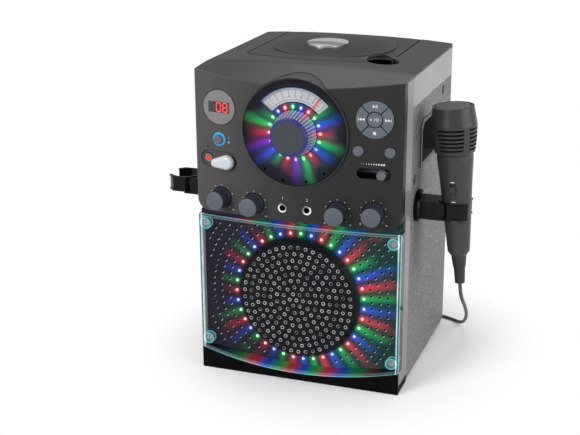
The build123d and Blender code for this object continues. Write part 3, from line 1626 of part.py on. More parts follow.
def mic_cord():
    """Loose cord as straight runs joined by arcs."""
    route = cord_route()
    radii = []
    for before, corner, after in zip(route, route[1:], route[2:]):
        turn = radians((corner - before).get_angle(after - corner))
        shorter = min((corner - before).length, (after - corner).length)
        radii.append(arc_share * shorter / tan(turn / 2))
    print("cord bend radii", [round(radius, 1) for radius in radii])
    path = FilletPolyline(*route, radius=radii)
    section = Plane(origin=route[0], z_dir=route[1] - route[0]) * Circle(cord_diameter / 2)
    tube = sweep(section, path=path)
    expected = path.length * pi * cord_diameter**2 / 4
    print("cord tube", round(path.length, 1), "long, volume ratio", round(tube.volume / expected, 4))
    turns = (cord_length - path.length) / (2 * pi * coil_radius)
    print("coil turns", round(turns, 2))
    return tube


def mic_cord_coil():
    """Outer shape of the tied coil of spare cord."""
    half = coil_layers * cord_diameter / 2
    y = front_y + coil_depth
    ring = rod_z(coil_x, y, coil_radius + half, 0, 2 * half)
    return ring - rod_z(coil_x, y, coil_radius - half, -1, 2 * half + 1)


def mic_plug():
    """Plug at the end of the cord, lying behind the cabinet beside the coil."""
    half = coil_layers * cord_diameter / 2
    y = front_y + coil_depth - coil_radius - half + cord_diameter / 2
    tail = coil_x - plug_tail_start
    body_start = tail - plug_tail_length
    body_end = body_start - plug_body_length
    shaft_end = body_end - plug_shaft_length
    body = rod_x(y, plug_radius, plug_radius, body_end, body_start)
    body = body + rod_x(y, plug_radius, plug_tail_radius, body_start, tail)
    shaft = rod_x(y, plug_radius, plug_shaft_radius, shaft_end + plug_tip_length, body_end)
    tip = Pos(shaft_end + plug_tip_length / 2, y, plug_radius) * Rot(0, -90, 0)
    tip = tip * Cone(plug_shaft_radius, plug_shaft_radius / 2, plug_tip_length)
    groove = rod_x(y, plug_radius, plug_shaft_radius + 1, shaft_end + plug_tip_length,
                   shaft_end + plug_tip_length + plug_groove_width)
    groove = groove - rod_x(y, plug_radius, plug_shaft_radius - plug_groove_depth, shaft_end, body_end)
    return body + shaft + tip - groove


def main_board():
    """Amplifier board on posts over the floor, with its heat sink and two capacitors."""
    floor = strip_bottom + wall
    low = floor + post_height
    high = low + board_thickness
    y0 = front_y + main_board_front
    y1 = front_y + main_board_back
    board = block(main_board_left, main_board_right, y0, y1, low, high)
    inset = 2 * post_radius
    for x in (main_board_left + inset, main_board_right - inset):
        for y in (y0 + inset, y1 - inset):
            board = board + rod_z(x, y, post_radius, floor, low)
    start = main_board_left + inset
    sink_y = y1 - 4 * inset
    top = high + heat_sink_height
    board = board + block(start, start + heat_sink_length, sink_y, sink_y + heat_sink_plate, high, top)
    for fin in range(heat_sink_fins):
        x = start + fin * (heat_sink_length - heat_sink_fin) / (heat_sink_fins - 1)
        board = board + block(x, x + heat_sink_fin, sink_y - heat_sink_reach, sink_y, high, top)
    for x in (main_board_right - 4 * inset, main_board_right - 8 * inset):
        board = board + rod_z(x, (y0 + y1) / 2, capacitor_radius, high, high + capacitor_height)
    return board


def power_transformer():
    """Laminated mains transformer standing on the floor."""
    floor = strip_bottom + wall
    y = front_y + transformer_depth
    core = block(transformer_x - transformer_width / 2, transformer_x + transformer_width / 2,
                 y - transformer_length / 2 + winding_stand, y + transformer_length / 2 - winding_stand,
                 floor, floor + transformer_height)
    winding = block(transformer_x - winding_width / 2, transformer_x + winding_width / 2,
                    y - transformer_length / 2, y + transformer_length / 2,
                    floor + winding_stand, floor + transformer_height - winding_stand)
    return core + winding


def rear_sockets():
    """Phono sockets on the back and the mains inlet beside them."""
    sockets = []
    for x in socket_centres():
        socket = rod_y(x, socket_height, socket_radius, back_y - wall - socket_inside, back_y + socket_stand)
        flange = rod_y(x, socket_height, socket_radius + socket_flange, back_y, back_y + 1)
        bore = rod_y(x, socket_height, socket_bore, back_y - socket_inside, back_y + socket_stand + 1)
        sockets.append(socket + flange - bore)
    inlet = block(inlet_x - inlet_width / 2 + slip, inlet_x + inlet_width / 2 - slip,
                  back_y - wall - inlet_inside, back_y + 1,
                  inlet_height - inlet_tall / 2 + slip, inlet_height + inlet_tall / 2 - slip)
    pocket = block(inlet_x - inlet_width / 2 + wall, inlet_x + inlet_width / 2 - wall,
                   back_y - inlet_recess, back_y + 2,
                   inlet_height - inlet_tall / 2 + wall, inlet_height + inlet_tall / 2 - wall)
    pins = [rod_y(inlet_x + side * inlet_pin_x, inlet_height, inlet_pin_radius,
                  back_y - inlet_recess - 1, back_y - 2)
            for side in (-1, 1)]
    sockets.append(joined([inlet - pocket] + pins))
    return group(sockets)


# ---------------------------------------------------------------- the parts
play_names = ("skip_button", "play_button", "stop_button", "previous_button", "next_button")
knob_names = ("voice_control_knob", "balance_knob", "echo_knob", "mic_volume_knob")

parts = {
    "base_plinth": base_plinth(),
    "cabinet_shell": cabinet_shell(),
    "upper_band": upper_band(),
    "rear_panel": rear_panel(),
    "front_frame": front_frame(),
    "control_panel": control_panel(),
    "top_deck": top_deck(),
    "disc_well": disc_well(),
    "disc_lid": disc_lid(),
    "lid_badge": lid_badge(),
    "turntable": turntable(),
    "deck_mechanism": deck_mechanism(),
    "pickup_sled": pickup_sled(),
    "sled_gear": sled_gear(),
    "clear_cover": clear_cover(),
    "baffle": baffle(),
    "speaker_light_ring": speaker_light_ring(),
    "speaker_frame": speaker_frame(),
    "speaker_cone": speaker_cone(),
    "dial_housing": dial_housing(),
    "dial_face": dial_face(),
    "dial_scale": dial_scale(),
    "dial_needle": dial_needle(),
    "dial_light_ring": dial_light_ring(),
    "volume_knob": volume_knob(),
    "control_pots": control_pots(),
    "control_board": control_board(),
    "disco_slider": disco_slider(),
    "power_ring": power_ring(),
    "power_button": round_button(power_x, power_height, power_radius, power_stand),
    "record_button": round_button(record_x, recess_height, record_radius, record_stand - recess_depth),
    "mode_button": round_button(mode_button_x, round_button_height, round_button_radius, round_button_stand),
    "repeat_button": round_button(repeat_button_x, round_button_height, round_button_radius,
                                  round_button_stand),
    "display_window": display_window(),
    "usb_port": usb_port(),
    "usb_stick": usb_stick(),
    "mic_jacks": mic_jacks(),
    "case_screws": case_screws(),
    "grip_pockets": grip_pockets(),
    "mic_clip_right": mic_clip(),
    "mic_clip_left": mirror(mic_clip(), about=Plane.YZ),
    "mic_body": mic_body(),
    "mic_grille": mic_grille(),
    "mic_switch": mic_switch(),
    "mic_strain_relief": mic_strain_relief(),
    "mic_cord": mic_cord(),
    "mic_cord_coil": mic_cord_coil(),
    "mic_plug": mic_plug(),
    "main_board": main_board(),
    "power_transformer": power_transformer(),
    "rear_sockets": rear_sockets(),
}
for name, button in zip(play_names, pad_buttons()):
    parts[name] = button
for name, centre in zip(knob_names, knob_centres()):
    parts[name] = small_knob(*centre)

os.makedirs("parts", exist_ok=True)
for name, part in parts.items():
    export_step(part, os.path.join("parts", name + ".step"))
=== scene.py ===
import math

import bpy
from mathutils import Matrix, Vector


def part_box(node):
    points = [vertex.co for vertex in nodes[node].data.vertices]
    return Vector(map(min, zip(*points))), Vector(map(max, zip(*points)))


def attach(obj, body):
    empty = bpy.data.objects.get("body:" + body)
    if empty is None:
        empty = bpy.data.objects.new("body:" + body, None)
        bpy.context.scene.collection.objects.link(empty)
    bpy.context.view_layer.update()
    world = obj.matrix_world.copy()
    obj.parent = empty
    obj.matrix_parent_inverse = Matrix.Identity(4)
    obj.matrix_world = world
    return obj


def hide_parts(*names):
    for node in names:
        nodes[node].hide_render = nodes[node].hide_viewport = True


# A tabletop karaoke machine. The bare parts come in as nodes, and each section below finishes one of
# them and adds the small pieces that it carries.
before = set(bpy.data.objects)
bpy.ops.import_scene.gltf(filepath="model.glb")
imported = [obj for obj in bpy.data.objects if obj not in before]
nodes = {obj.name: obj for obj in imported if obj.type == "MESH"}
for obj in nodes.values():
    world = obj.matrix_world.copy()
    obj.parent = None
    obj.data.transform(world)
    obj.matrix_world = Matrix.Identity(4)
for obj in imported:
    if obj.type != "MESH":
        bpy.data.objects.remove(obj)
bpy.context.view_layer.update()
scene = bpy.context.scene

# ---- Camera
# A long lens, standing to the right of the machine and above it, as for a catalogue picture.
camera_place = Vector((0.43435, -1.33169, 0.64639))
camera_right = Vector((0.94928, 0.31441, 0.00382))
camera_up = Vector((-0.10518, 0.30605, 0.94619))

camera_lens = bpy.data.cameras.new("camera")
camera_lens.lens = 74.84
camera_lens.shift_x = -0.0603
camera = bpy.data.objects.new("camera", camera_lens)
scene.collection.objects.link(camera)
moved = Matrix.Translation
camera_axes = Matrix((camera_right, camera_up, camera_right.cross(camera_up))).transposed()
camera.matrix_world = moved(camera_place) @ camera_axes.to_4x4()
scene.camera = camera
scene.view_settings.view_transform = "Standard"

# ---- Studio
# A pale floor and a white surround. One big soft light stands at the front left, a weaker one at
# the right, and one hangs over the top.
floor_size = 14
floor_start = 0.12
horizon = 0.28
lights = (
    ("key_light", (-1.0, -2.0, 1.2), 1.1, 36.0),
    ("side_light", (1.9, -0.3, 0.9), 1.8, 28.0),
    ("top_light", (0.1, 0.5, 1.9), 1.2, 6.0),
)

# What each input of a surface is called on its shader.
shader_inputs = {
    "colour": "Base Color", "roughness": "Roughness", "specular": "Specular IOR Level",
    "metallic": "Metallic", "coat": "Coat Weight", "coat_roughness": "Coat Roughness",
    "glow": "Emission Color", "strength": "Emission Strength", "alpha": "Alpha", "normal": "Normal",
}


class Number:
    """A number or colour that changes over a surface, on which sums can be written."""

    def __init__(self, finish, socket):
        self.finish = finish
        self.socket = socket

    def output(self, name):
        """Another output of the same node."""
        return Number(self.finish, self.socket.node.outputs[name])

    def maths(self, operation, *others):
        """This number put through one sum with others."""
        return self.finish.node("ShaderNodeMath", {"operation": operation}, dict(enumerate((self, *others))))

    def __add__(self, other):
        return self.maths("ADD", other)

    def __sub__(self, other):
        return self.maths("SUBTRACT", other)

    def __mul__(self, other):
        return self.maths("MULTIPLY", other)

    def __truediv__(self, other):
        return self.maths("DIVIDE", other)

    def __pow__(self, other):
        return self.maths("POWER", other)

    def __rsub__(self, other):
        return self.finish.node("ShaderNodeMath", {"operation": "SUBTRACT"}, {0: other, 1: self})

    __radd__ = __add__
    __rmul__ = __mul__

    def rise(self, start, end):
        """0 before start, 1 after end, and a smooth slope between them."""
        edges = {"Value": self, "From Min": start, "From Max": end}
        return self.finish.node("ShaderNodeMapRange", {"interpolation_type": "SMOOTHSTEP"}, edges)

    def blend(self, first, second):
        """first where this number is 0, second where it is 1."""
        return self.finish.node("ShaderNodeMix", {"data_type": "RGBA"}, {0: self, 6: first, 7: second}, 2)

    def paints(self, first, second):
        """A blend of two paints."""
        return self.blend(paint(*first), paint(*second))

    def ramp(self, stops):
        """The colour at this number's place among stops, each a place and a colour."""
        colour = self.finish.node("ShaderNodeValToRGB", {}, {"Fac": self})
        ramp = colour.socket.node.color_ramp
        ramp.interpolation = "EASE"
        while len(ramp.elements) < len(stops):
            ramp.elements.new(0.5)
        for stop, (position, shade) in zip(ramp.elements, stops):
            stop.position = position
            stop.color = shade
        return colour

    def wave(self, count):
        """A wave from -1 to 1 that peaks count times while this number goes from 0 to 1."""
        return (2 * math.pi * count * self).maths("COSINE")

    def across(self, other):
        """Distance from the middle, from this number and other as its two sides."""
        return (self * self + other * other).maths("SQRT")

    def scaled(self, amount):
        """This colour, brighter or darker."""
        sockets = {"Vector": self, "Scale": amount}
        return self.finish.node("ShaderNodeVectorMath", {"operation": "SCALE"}, sockets)

    def plus(self, colour):
        """This colour with another one's light added."""
        return self.finish.node("ShaderNodeVectorMath", {"operation": "ADD"}, {0: self, 1: colour})


class Finish:
    """A material, or the world, and the one method that adds any node to it."""

    def __init__(self, name, kind=bpy.data.materials):
        self.material = kind.new(name)
        self.material.use_nodes = True
        self.material.node_tree.nodes.clear()

    def node(self, kind, settings, sockets, output=0):
        """Adds a node of this kind, with its settings and what goes into its sockets."""
        made = self.material.node_tree.nodes.new(kind)
        for name, value in settings.items():
            setattr(made, name, value)
        for name, value in sockets.items():
            if isinstance(value, Number):
                self.material.node_tree.links.new(value.socket, made.inputs[name])
            else:
                made.inputs[name].default_value = value
        return Number(self, made.outputs[output]) if made.outputs else None

    def place(self, middle=(0, 0, 0), turn=(0, 0, 0)):
        """Where a point of the surface is, measured from middle."""
        here = self.node("ShaderNodeTexCoord", {}, {}, "Object")
        if middle == (0, 0, 0) and turn == (0, 0, 0):
            return here
        back = {"Vector": here, "Location": middle, "Rotation": turn}
        return self.node("ShaderNodeMapping", {"vector_type": "TEXTURE"}, back)

    def noise(self, size, detail=2.0, place=None):
        """A cloudy pattern from 0 to 1 with spots of about this size in metres."""
        sockets = {"Vector": place or self.place(), "Scale": 1 / size, "Detail": detail}
        return self.node("ShaderNodeTexNoise", {}, sockets)

    def axes(self, middle=(0, 0, 0)):
        """A point's distance from middle along X; the outputs Y and Z give the others."""
        return self.node("ShaderNodeSeparateXYZ", {}, {"Vector": self.place(middle)})

    def edge(self, rounding):
        """Edges rounded as a mould rounds them."""
        return self.node("ShaderNodeBevel", {"samples": 4}, {"Radius": rounding})

    def grain(self, strength, height, rounding=0.0, depth=0.0001):
        """Fine relief of this depth, over rounded edges if they are asked for."""
        relief = {"Strength": strength, "Distance": depth, "Height": height}
        if rounding:
            relief["Normal"] = self.edge(rounding)
        return self.node("ShaderNodeBump", {}, relief)

    def surface(self, **inputs):
        """The plastic, paint or metal itself. A glow has a strength of 1 unless another is given."""
        if "glow" in inputs:
            inputs.setdefault("strength", 1.0)
        sockets = {shader_inputs[name]: value for name, value in inputs.items()}
        shader = self.node("ShaderNodeBsdfPrincipled", {}, sockets)
        self.node("ShaderNodeOutputMaterial", {}, {"Surface": shader})
        return self.material


def paint(*parts):
    """A colour as it is seen on a screen, 0 to 255, in the linear scale that shaders use. One number
    alone gives a grey."""
    linear = []
    for part in parts if len(parts) == 3 else parts * 3:
        part = part / 255
        linear.append(part / 12.92 if part <= 0.04045 else ((part + 0.055) / 1.055) ** 2.4)
    return (*linear, 1.0)


def deselect():
    """Leaves nothing selected, so that the next piece is worked on alone."""
    bpy.ops.object.select_all(action="DESELECT")


def thicken(piece, thickness=0.0):
    """Gives a flat piece its thickness, upwards, and turns a piece's faces outwards."""
    bpy.context.view_layer.objects.active = piece
    bpy.ops.object.mode_set(mode="EDIT")
    bpy.ops.mesh.select_all(action="SELECT")
    if thickness:
        bpy.ops.mesh.extrude_region_move(TRANSFORM_OT_translate={"value": (0, 0, thickness)})
        bpy.ops.mesh.select_all(action="SELECT")
    bpy.ops.mesh.normals_make_consistent(inside=False)
    bpy.ops.object.mode_set(mode="OBJECT")


def shaped(name, points, faces):
    """A piece made from its points and faces."""
    shape = bpy.data.meshes.new(name)
    shape.from_pydata(points, [], faces)
    piece = bpy.data.objects.new(name, shape)
    scene.collection.objects.link(piece)
    return piece


def flat_shape(corners, radius, thickness=0.0, turn=0.0):
    """An even shape with this many corners, lying at the origin, facing up."""
    deselect()
    bpy.ops.mesh.primitive_circle_add(vertices=corners, radius=radius, fill_type="NGON")
    piece = bpy.context.object
    piece.data.transform(Matrix.Rotation(turn, 4, "Z"))
    if thickness:
        thicken(piece, thickness)
    return piece


upright = Matrix.Rotation(math.radians(90), 4, "X")

deselect()
bpy.ops.mesh.primitive_plane_add(size=floor_size)
floor = bpy.context.object
floor.name = "floor"
floor_finish = Finish("floor")
floor_place = floor_finish.place((0.03, 0, 0))
distance = floor_finish.node("ShaderNodeVectorMath", {"operation": "LENGTH"}, {0: floor_place}, "Value")
floor_ray = floor_finish.node("ShaderNodeLightPath", {}, {}, "Is Camera Ray")
floor_seen = floor_ray.maths("MAXIMUM", floor_ray.output("Is Glossy Ray"))
floor_seen = floor_seen.maths("MAXIMUM", floor_ray.output("Is Transmission Ray"))
floor_tone = floor_seen.blend((0.22, 0.22, 0.22, 1), (0.96, 0.96, 0.96, 1))
matt = floor_finish.node("ShaderNodeBsdfDiffuse", {}, {"Color": floor_tone})
white = floor_finish.node("ShaderNodeEmission", {}, {"Color": floor_tone, "Strength": 1.05})
floor_sockets = {0: distance.rise(floor_start, horizon), 1: matt, 2: white}
floor_shader = floor_finish.node("ShaderNodeMixShader", {}, floor_sockets)
floor_finish.node("ShaderNodeOutputMaterial", {}, {"Surface": floor_shader})
floor.data.materials.append(floor_finish.material)

for name, place, size, power in lights:
    bpy.ops.object.light_add(type="AREA", location=place)
    light = bpy.context.object
    light.name = name
    light.data.size = size
    light.data.energy = power
    light.rotation_euler = (Vector((0, 0, 0.18)) - Vector(place)).to_track_quat("-Z", "Y").to_euler()

studio = Finish("studio", bpy.data.worlds)
scene.world = studio.material
ray = studio.node("ShaderNodeLightPath", {}, {}, "Is Camera Ray")
seen = ray.maths("MAXIMUM", ray.output("Is Transmission Ray"))
room = studio.node("ShaderNodeMix", {}, {"Factor": seen, "A": 0.44, "B": 1.0})
background = studio.node("ShaderNodeBackground", {}, {"Color": (1, 1, 1, 1), "Strength": room})
studio.node("ShaderNodeOutputWorld", {}, {"Surface": background})

# ---- Microphone cord
# A round flexible lead, 2.5 m long. It hangs from the strain relief, goes round behind the cabinet,
# and its spare length lies there in a neat coil of four layers, ending in the jack plug.
cord_diameter = 0.0043
cord_exit = (0.1758, -0.046, 0.1225)
cord_points = [
    cord_exit,
    (0.17695, -0.046, 0.1086),
    (0.178, -0.038, 0.097),
    (0.177, -0.020, 0.084),
    (0.174, 0.008, 0.0655),
    (0.169, 0.038, 0.0465),
    (0.163, 0.066, 0.0295),
    (0.157, 0.087, 0.0155),
    (0.1505, 0.102, 0.006),
    (0.1425, 0.1125, 0.00215),
    (0.131, 0.119, 0.00215),
    (0.117, 0.1235, 0.00215),
    (0.100, 0.126, 0.00215),
    (0.083, 0.1255, 0.00215),
]
coil_middle = Vector((0.062, 0.1534, 0.00215))
coil_outer = 0.0285
coil_pitch = 0.0044
coil_steps = 16
coil_turns = (
    (0, 0), (1, 0), (2, 0), (3, 0), (3, 1), (2, 1), (1, 1), (1, 2),
    (2, 2), (3, 2), (3, 3), (2, 3), (1, 3), (0, 3), (0, 2), (0, 1),
)
coil_cut = 1 / math.cos(math.pi / coil_steps)
plug_tail = (0.053, 0.12455, 0.0065)

for number, (ring, layer) in enumerate(coil_turns):
    later_ring, later_layer = coil_turns[min(number + 1, len(coil_turns) - 1)]
    for step in range(coil_steps):
        share = max(0.0, 4 * step / coil_steps - 3)
        radius = coil_outer - coil_pitch * (ring + share * (later_ring - ring))
        height = coil_pitch * (layer + share * (later_layer - layer))
        angle = -math.pi / 2 - 2 * math.pi * step / coil_steps
        side = Vector((math.cos(angle), math.sin(angle), 0)) * radius * coil_cut
        cord_points.append(tuple(coil_middle + side + Vector((0, 0, height))))
cord_points.append((0.062, plug_tail[1], 0.0065))
cord_points.append(plug_tail)

cord_line = bpy.data.curves.new("microphone_cord", "CURVE")
cord_line.dimensions = "3D"
cord_line.bevel_depth = cord_diameter / 2
cord_line.bevel_resolution = 3
cord_line.resolution_u = 6
spline = cord_line.splines.new("NURBS")
spline.points.add(len(cord_points) - 1)
for point, place in zip(spline.points, cord_points):
    point.co = (*place, 1)
spline.order_u = 3
spline.use_endpoint_u = True
cord = bpy.data.objects.new("microphone_cord", cord_line)
scene.collection.objects.link(cord)
cord_finish = Finish("cord_rubber")
cord_grain = cord_finish.noise(0.0008)
cord_line.materials.append(cord_finish.surface(
    colour=cord_grain.paints((66, 66, 68), (92, 92, 94)),
    roughness=0.42 + 0.16 * cord_grain,
    normal=cord_finish.grain(0.2, cord_grain),
))
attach(cord, "microphone")
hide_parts("mic_cord", "mic_cord_coil")

# ---- Cabinet
# The body is moulded in mid grey plastic with a fine speckle, open in front, with a flat back screwed
# in. A smooth paler band goes round its top, two light strips line its front edges, and it stands on
# a black base.
def dress(name, material):
    """Gives a bare node its finish."""
    for place in nodes[name].material_slots:
        place.material = material


def moulded(name, dark, light, roughness, grain=0.15, grain_size=0.0005, rounding=0.0006, cloud=0.05,
            coat=0.0, specular=0.5):
    """Moulded plastic: cloudy tone, fine grain, and edges rounded as a mould rounds them."""
    finish = Finish(name)
    tone = finish.noise(cloud, 3.0)
    fine = finish.noise(grain_size)
    return finish.surface(
        colour=tone.rise(0.3, 0.7).paints(dark, light),
        roughness=roughness - 0.06 + 0.12 * fine,
        specular=specular,
        coat=coat,
        coat_roughness=0.08,
        normal=finish.grain(grain, fine, rounding),
    )


speckled = Finish("speckled_grey_plastic")
spots = speckled.node("ShaderNodeTexVoronoi", {}, {"Vector": speckled.place(), "Scale": 900.0}, "Color")
spot_tone = speckled.node("ShaderNodeSeparateColor", {}, {"Color": spots})
broad = speckled.noise(0.12, 2.0)
grey = broad.rise(0.25, 0.75).paints((122, 122, 122), (130, 130, 130))
dark_spots = spot_tone.rise(0.16, 0.02).blend(grey, paint(72))
pale_spots = spot_tone.output("Green").rise(0.86, 0.97).blend(dark_spots, paint(182))
dress("cabinet_shell", speckled.surface(
    colour=pale_spots,
    roughness=0.5 + 0.2 * spot_tone,
    specular=0.2,
    normal=speckled.grain(0.35, spot_tone, depth=0.00015),
))
dress("rear_panel", speckled.material)
dress("upper_band", moulded("pale_grey_band", (162, 161, 162), (170, 169, 170), 0.45))
dress("front_frame", moulded("light_grey_strip", (132, 130, 130), (142, 139, 139), 0.4))
dress("base_plinth", moulded("black_base", (6, 6, 6), (9, 9, 9), 0.5, specular=0.05))
dress("grip_pockets", moulded("grip_charcoal", (52, 52, 52), (62, 62, 62), 0.45))
dress("case_screws", moulded("plated_screw", (150, 150, 152), (190, 190, 194), 0.25, grain=0.05))

# ---- Fascia, top and disc lid
# Three mouldings in the same charcoal plastic with a fine satin grain. The fascia is bowed, and the
# top is scooped out behind it. The lid is hinged at the back and lifts by the notch at its corner.
def satin(name, finish, colour, roughness, specular):
    """Gives a bare node a satin plastic with a fine grain."""
    fine = finish.noise(0.0005)
    dress(name, finish.surface(colour=colour, roughness=roughness + 0.12 * fine, specular=specular,
                               normal=finish.grain(0.2, fine, 0.0006)))


fascia = Finish("charcoal_fascia")
# The fascia is painted lighter at the left and darker at the right: painted light, brighter on the side the
# key light falls on.
satin("control_panel", fascia, fascia.axes().rise(-0.15, 0.04).paints((86, 84, 84), (42, 41, 42)),
      0.36, 0.22)
lid_middle = (-0.004, 0.033, 0)
lid_half_width = 0.0863
lid_front_y = -0.0615
lid_front_radius = 0.1562
# Near-black painted shade along both sides of the gap round the lid, where the rounded edges fall in shadow.
gap_painted_shade = paint(16)


def lid_edge(finish):
    """How far a point lies inside the lid's outline, and its distance from the dome's middle."""
    across = finish.axes(lid_middle)
    back = across.output("Y") + (lid_middle[1] - lid_front_y - lid_front_radius)
    front = lid_front_radius - across.across(back)
    side = lid_half_width - across.maths("ABSOLUTE")
    up = across.output("Y")
    return side.maths("MINIMUM", front), across.across(up)


deck = Finish("charcoal_deck")
deck_across = deck.axes()
scoop = deck_across.output("Y").rise(-0.072, -0.086)
deck_gap = lid_edge(deck)[0]
# A band of painted shade on the deck just outside the lid's gap.
gap_shade_band = deck_gap.rise(-0.0019, -0.0015) * deck_gap.rise(-0.0004, -0.0008)
# The scoop is painted lighter, more so towards the right: a painted sheen where its slope faces the light.
scoop_painted_sheen = deck_across.rise(-0.11, 0.03).paints((68, 67, 67), (90, 89, 88))
satin("top_deck", deck, gap_shade_band.blend(scoop.blend(paint(68, 66, 65), scoop_painted_sheen), gap_painted_shade),
      0.36, 0.15)

lid = Finish("charcoal_lid")
lid_inside, lid_radius = lid_edge(lid)
# The dome is painted darker towards its middle, a painted shade, and the lid's edge along the gap takes the
# same near-black painted shade as the deck.
lid_dome_shade = lid_radius.rise(0.080, 0.050).paints((58, 56, 56), (44, 42, 43))
satin("disc_lid", lid, lid_inside.rise(0.0010, 0.0006).blend(lid_dome_shade, gap_painted_shade), 0.34, 0.15)
dress("disc_well", moulded("black_well", (22, 22, 23), (30, 30, 31), 0.4))

badge_middle = (-0.0095, 0.023, 0)
badge = Finish("brushed_badge")
badge_place = badge.place(badge_middle)
brush = badge.node("ShaderNodeMapping", {}, {"Vector": badge_place, "Scale": (40, 2500, 200)})
brushed = badge.node("ShaderNodeTexNoise", {}, {"Vector": brush, "Scale": 1.0, "Detail": 3.0})
badge_y = badge.node("ShaderNodeSeparateXYZ", {}, {"Vector": badge_place}, "Y")
band = badge_y.rise(-0.002, -0.007) * badge_y.rise(-0.022, -0.016)
badge_tone = (0.2 * brushed + 0.65 * band).paints((238, 238, 240), (112, 112, 116))
dress("lid_badge", badge.surface(
    colour=badge_tone,
    metallic=0.85,
    roughness=0.22 + 0.2 * brushed,
    normal=badge.grain(0.15, brushed),
))

# A raised brow on the lid shades the finger notch. Its inner face drops straight into the notch, and is
# painted near-black there: painted shade.
notch = (0.0745, -0.033)
notch_wall = 0.0187
brow_height = 0.0046
brow_profile = ((0.0, -0.002, 0), (0.0, 0.0, 1), (0.0009, 0.0, 1.02), (0.0028, 0.0, 0.72),
                (0.0058, 0.0, 0.28), (0.0098, 0.0, 0), (0.0098, -0.002, 0))
crown_radius = 1.4908
crown_top = 0.375
brow_steps = 20
brow_from = math.radians(68)
brow_to = math.radians(184)
brow_points = []
brow_faces = []
for step in range(brow_steps + 1):
    share = step / brow_steps
    angle = brow_from + (brow_to - brow_from) * share
    high = brow_height * math.sin(math.pi * share) ** 0.8
    for outward, up, part in brow_profile:
        x = notch[0] + (notch_wall + outward) * math.cos(angle)
        y = notch[1] + (notch_wall + outward) * math.sin(angle)
        ground = crown_top - crown_radius + math.sqrt(crown_radius**2 - x**2)
        brow_points.append((x, y, ground + up + high * part))
ring_size = len(brow_profile)
for step in range(brow_steps):
    for corner in range(ring_size):
        following = (corner + 1) % ring_size
        brow_faces.append((step * ring_size + corner, (step + 1) * ring_size + corner,
                           (step + 1) * ring_size + following, step * ring_size + following))
brow_faces.append(tuple(range(ring_size)))
brow_faces.append(tuple(reversed(range(brow_steps * ring_size, (brow_steps + 1) * ring_size))))
brow = shaped("notch_brow", brow_points, brow_faces)
deselect()
thicken(brow)
for face in brow.data.polygons:
    face.use_smooth = True
brow_finish = Finish("brow_charcoal")
brow_across = brow_finish.axes((*notch, 0))
brow_up = brow_across.output("Y")
brow_radius = brow_across.across(brow_up)
brow_fine = brow_finish.noise(0.0005)
brow.data.materials.append(brow_finish.surface(
    # The brow's inner face is painted near-black as painted shade; the rest takes the charcoal of the lid.
    colour=brow_radius.rise(0.0190, 0.0193).paints((8, 8, 8), (78, 77, 75)),
    roughness=0.4 + 0.12 * brow_fine,
    specular=0.35,
))
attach(brow, "lid")

# ---- Dial
# A glossy black disc in a shallow housing. Twenty lamps behind its inner edge throw coloured fans of
# light over it, and a silvered volume scale with a red needle shows through a window at the top.
dial_x = 0.0
dial_z = 0.305
dial_lamps = (
    ("red", 0.35), ("blue", 0.8), ("green", 0.6), ("red", 0.3), ("blue", 0.25), ("green", 0.3), ("red", 0.25),
    ("blue", 0.35), ("green", 0.3), ("green", 1.0), ("red", 0.6), ("violet", 1.0), ("blue", 0.8),
    ("green", 0.3), ("red", 0.3), ("violet", 0.85), ("green", 0.9), ("red", 0.25), ("blue", 0.6),
    ("green", 0.85),
)
first_lamp = 3 / 360
knob_foot = 0.027
lamp_colours = {
    "blue": (0.02, 0.10, 1.0, 1.0),
    "green": (0.01, 0.62, 0.10, 1.0),
    "red": (1.0, 0.02, 0.05, 1.0),
    "violet": (0.20, 0.02, 0.60, 1.0),
}


def polar(finish, middle_x, middle_z):
    """Turn round a point of the front, 0 to 1 anticlockwise from the right, and distance from it."""
    across = finish.axes()
    x = across - middle_x
    z = across.output("Z") - middle_z
    turn = (z.maths("ARCTAN2", x) / (2 * math.pi)).maths("FLOORED_MODULO", 1.0)
    return turn, x.across(z)


def fan_stops(lamps, values):
    """Stops of a ramp over one whole turn, with each lamp's value at its own angle."""
    count = len(lamps)
    stops = [(first_lamp + number / count, value) for number, value in enumerate(values)]
    last, first = stops[-1][1], stops[0][1]
    share = 1 - first_lamp * count
    middle = tuple(a + (b - a) * share for a, b in zip(last, first))
    return [(0.0, middle), *stops, (1.0, middle)]


dial_stops = fan_stops(dial_lamps, [lamp_colours[colour] for colour, reach in dial_lamps])


def dial_light(finish):
    """Colour of the dial's light, and how bright it is, at each point of the front."""
    turn, radius = polar(finish, dial_x, dial_z)
    reaches = [(reach, reach, reach, 1.0) for colour, reach in dial_lamps]
    wander = finish.noise(0.012, 1.0) - 0.5
    bent = turn + wander * 0.02
    reach = bent.ramp(fan_stops(dial_lamps, reaches))
    reach = finish.node("ShaderNodeSeparateColor", {}, {"Color": reach})
    fan = 0.3 + 0.7 * (0.5 + 0.5 * (bent - first_lamp).wave(len(dial_lamps)))
    outer = 0.040 + 0.028 * reach
    fade = (1 - (radius - knob_foot) / (outer - knob_foot)).maths("MAXIMUM", 0.0) ** 1.15
    return bent.ramp(dial_stops), turn, radius, fan * fade * (0.45 + 0.6 * reach)


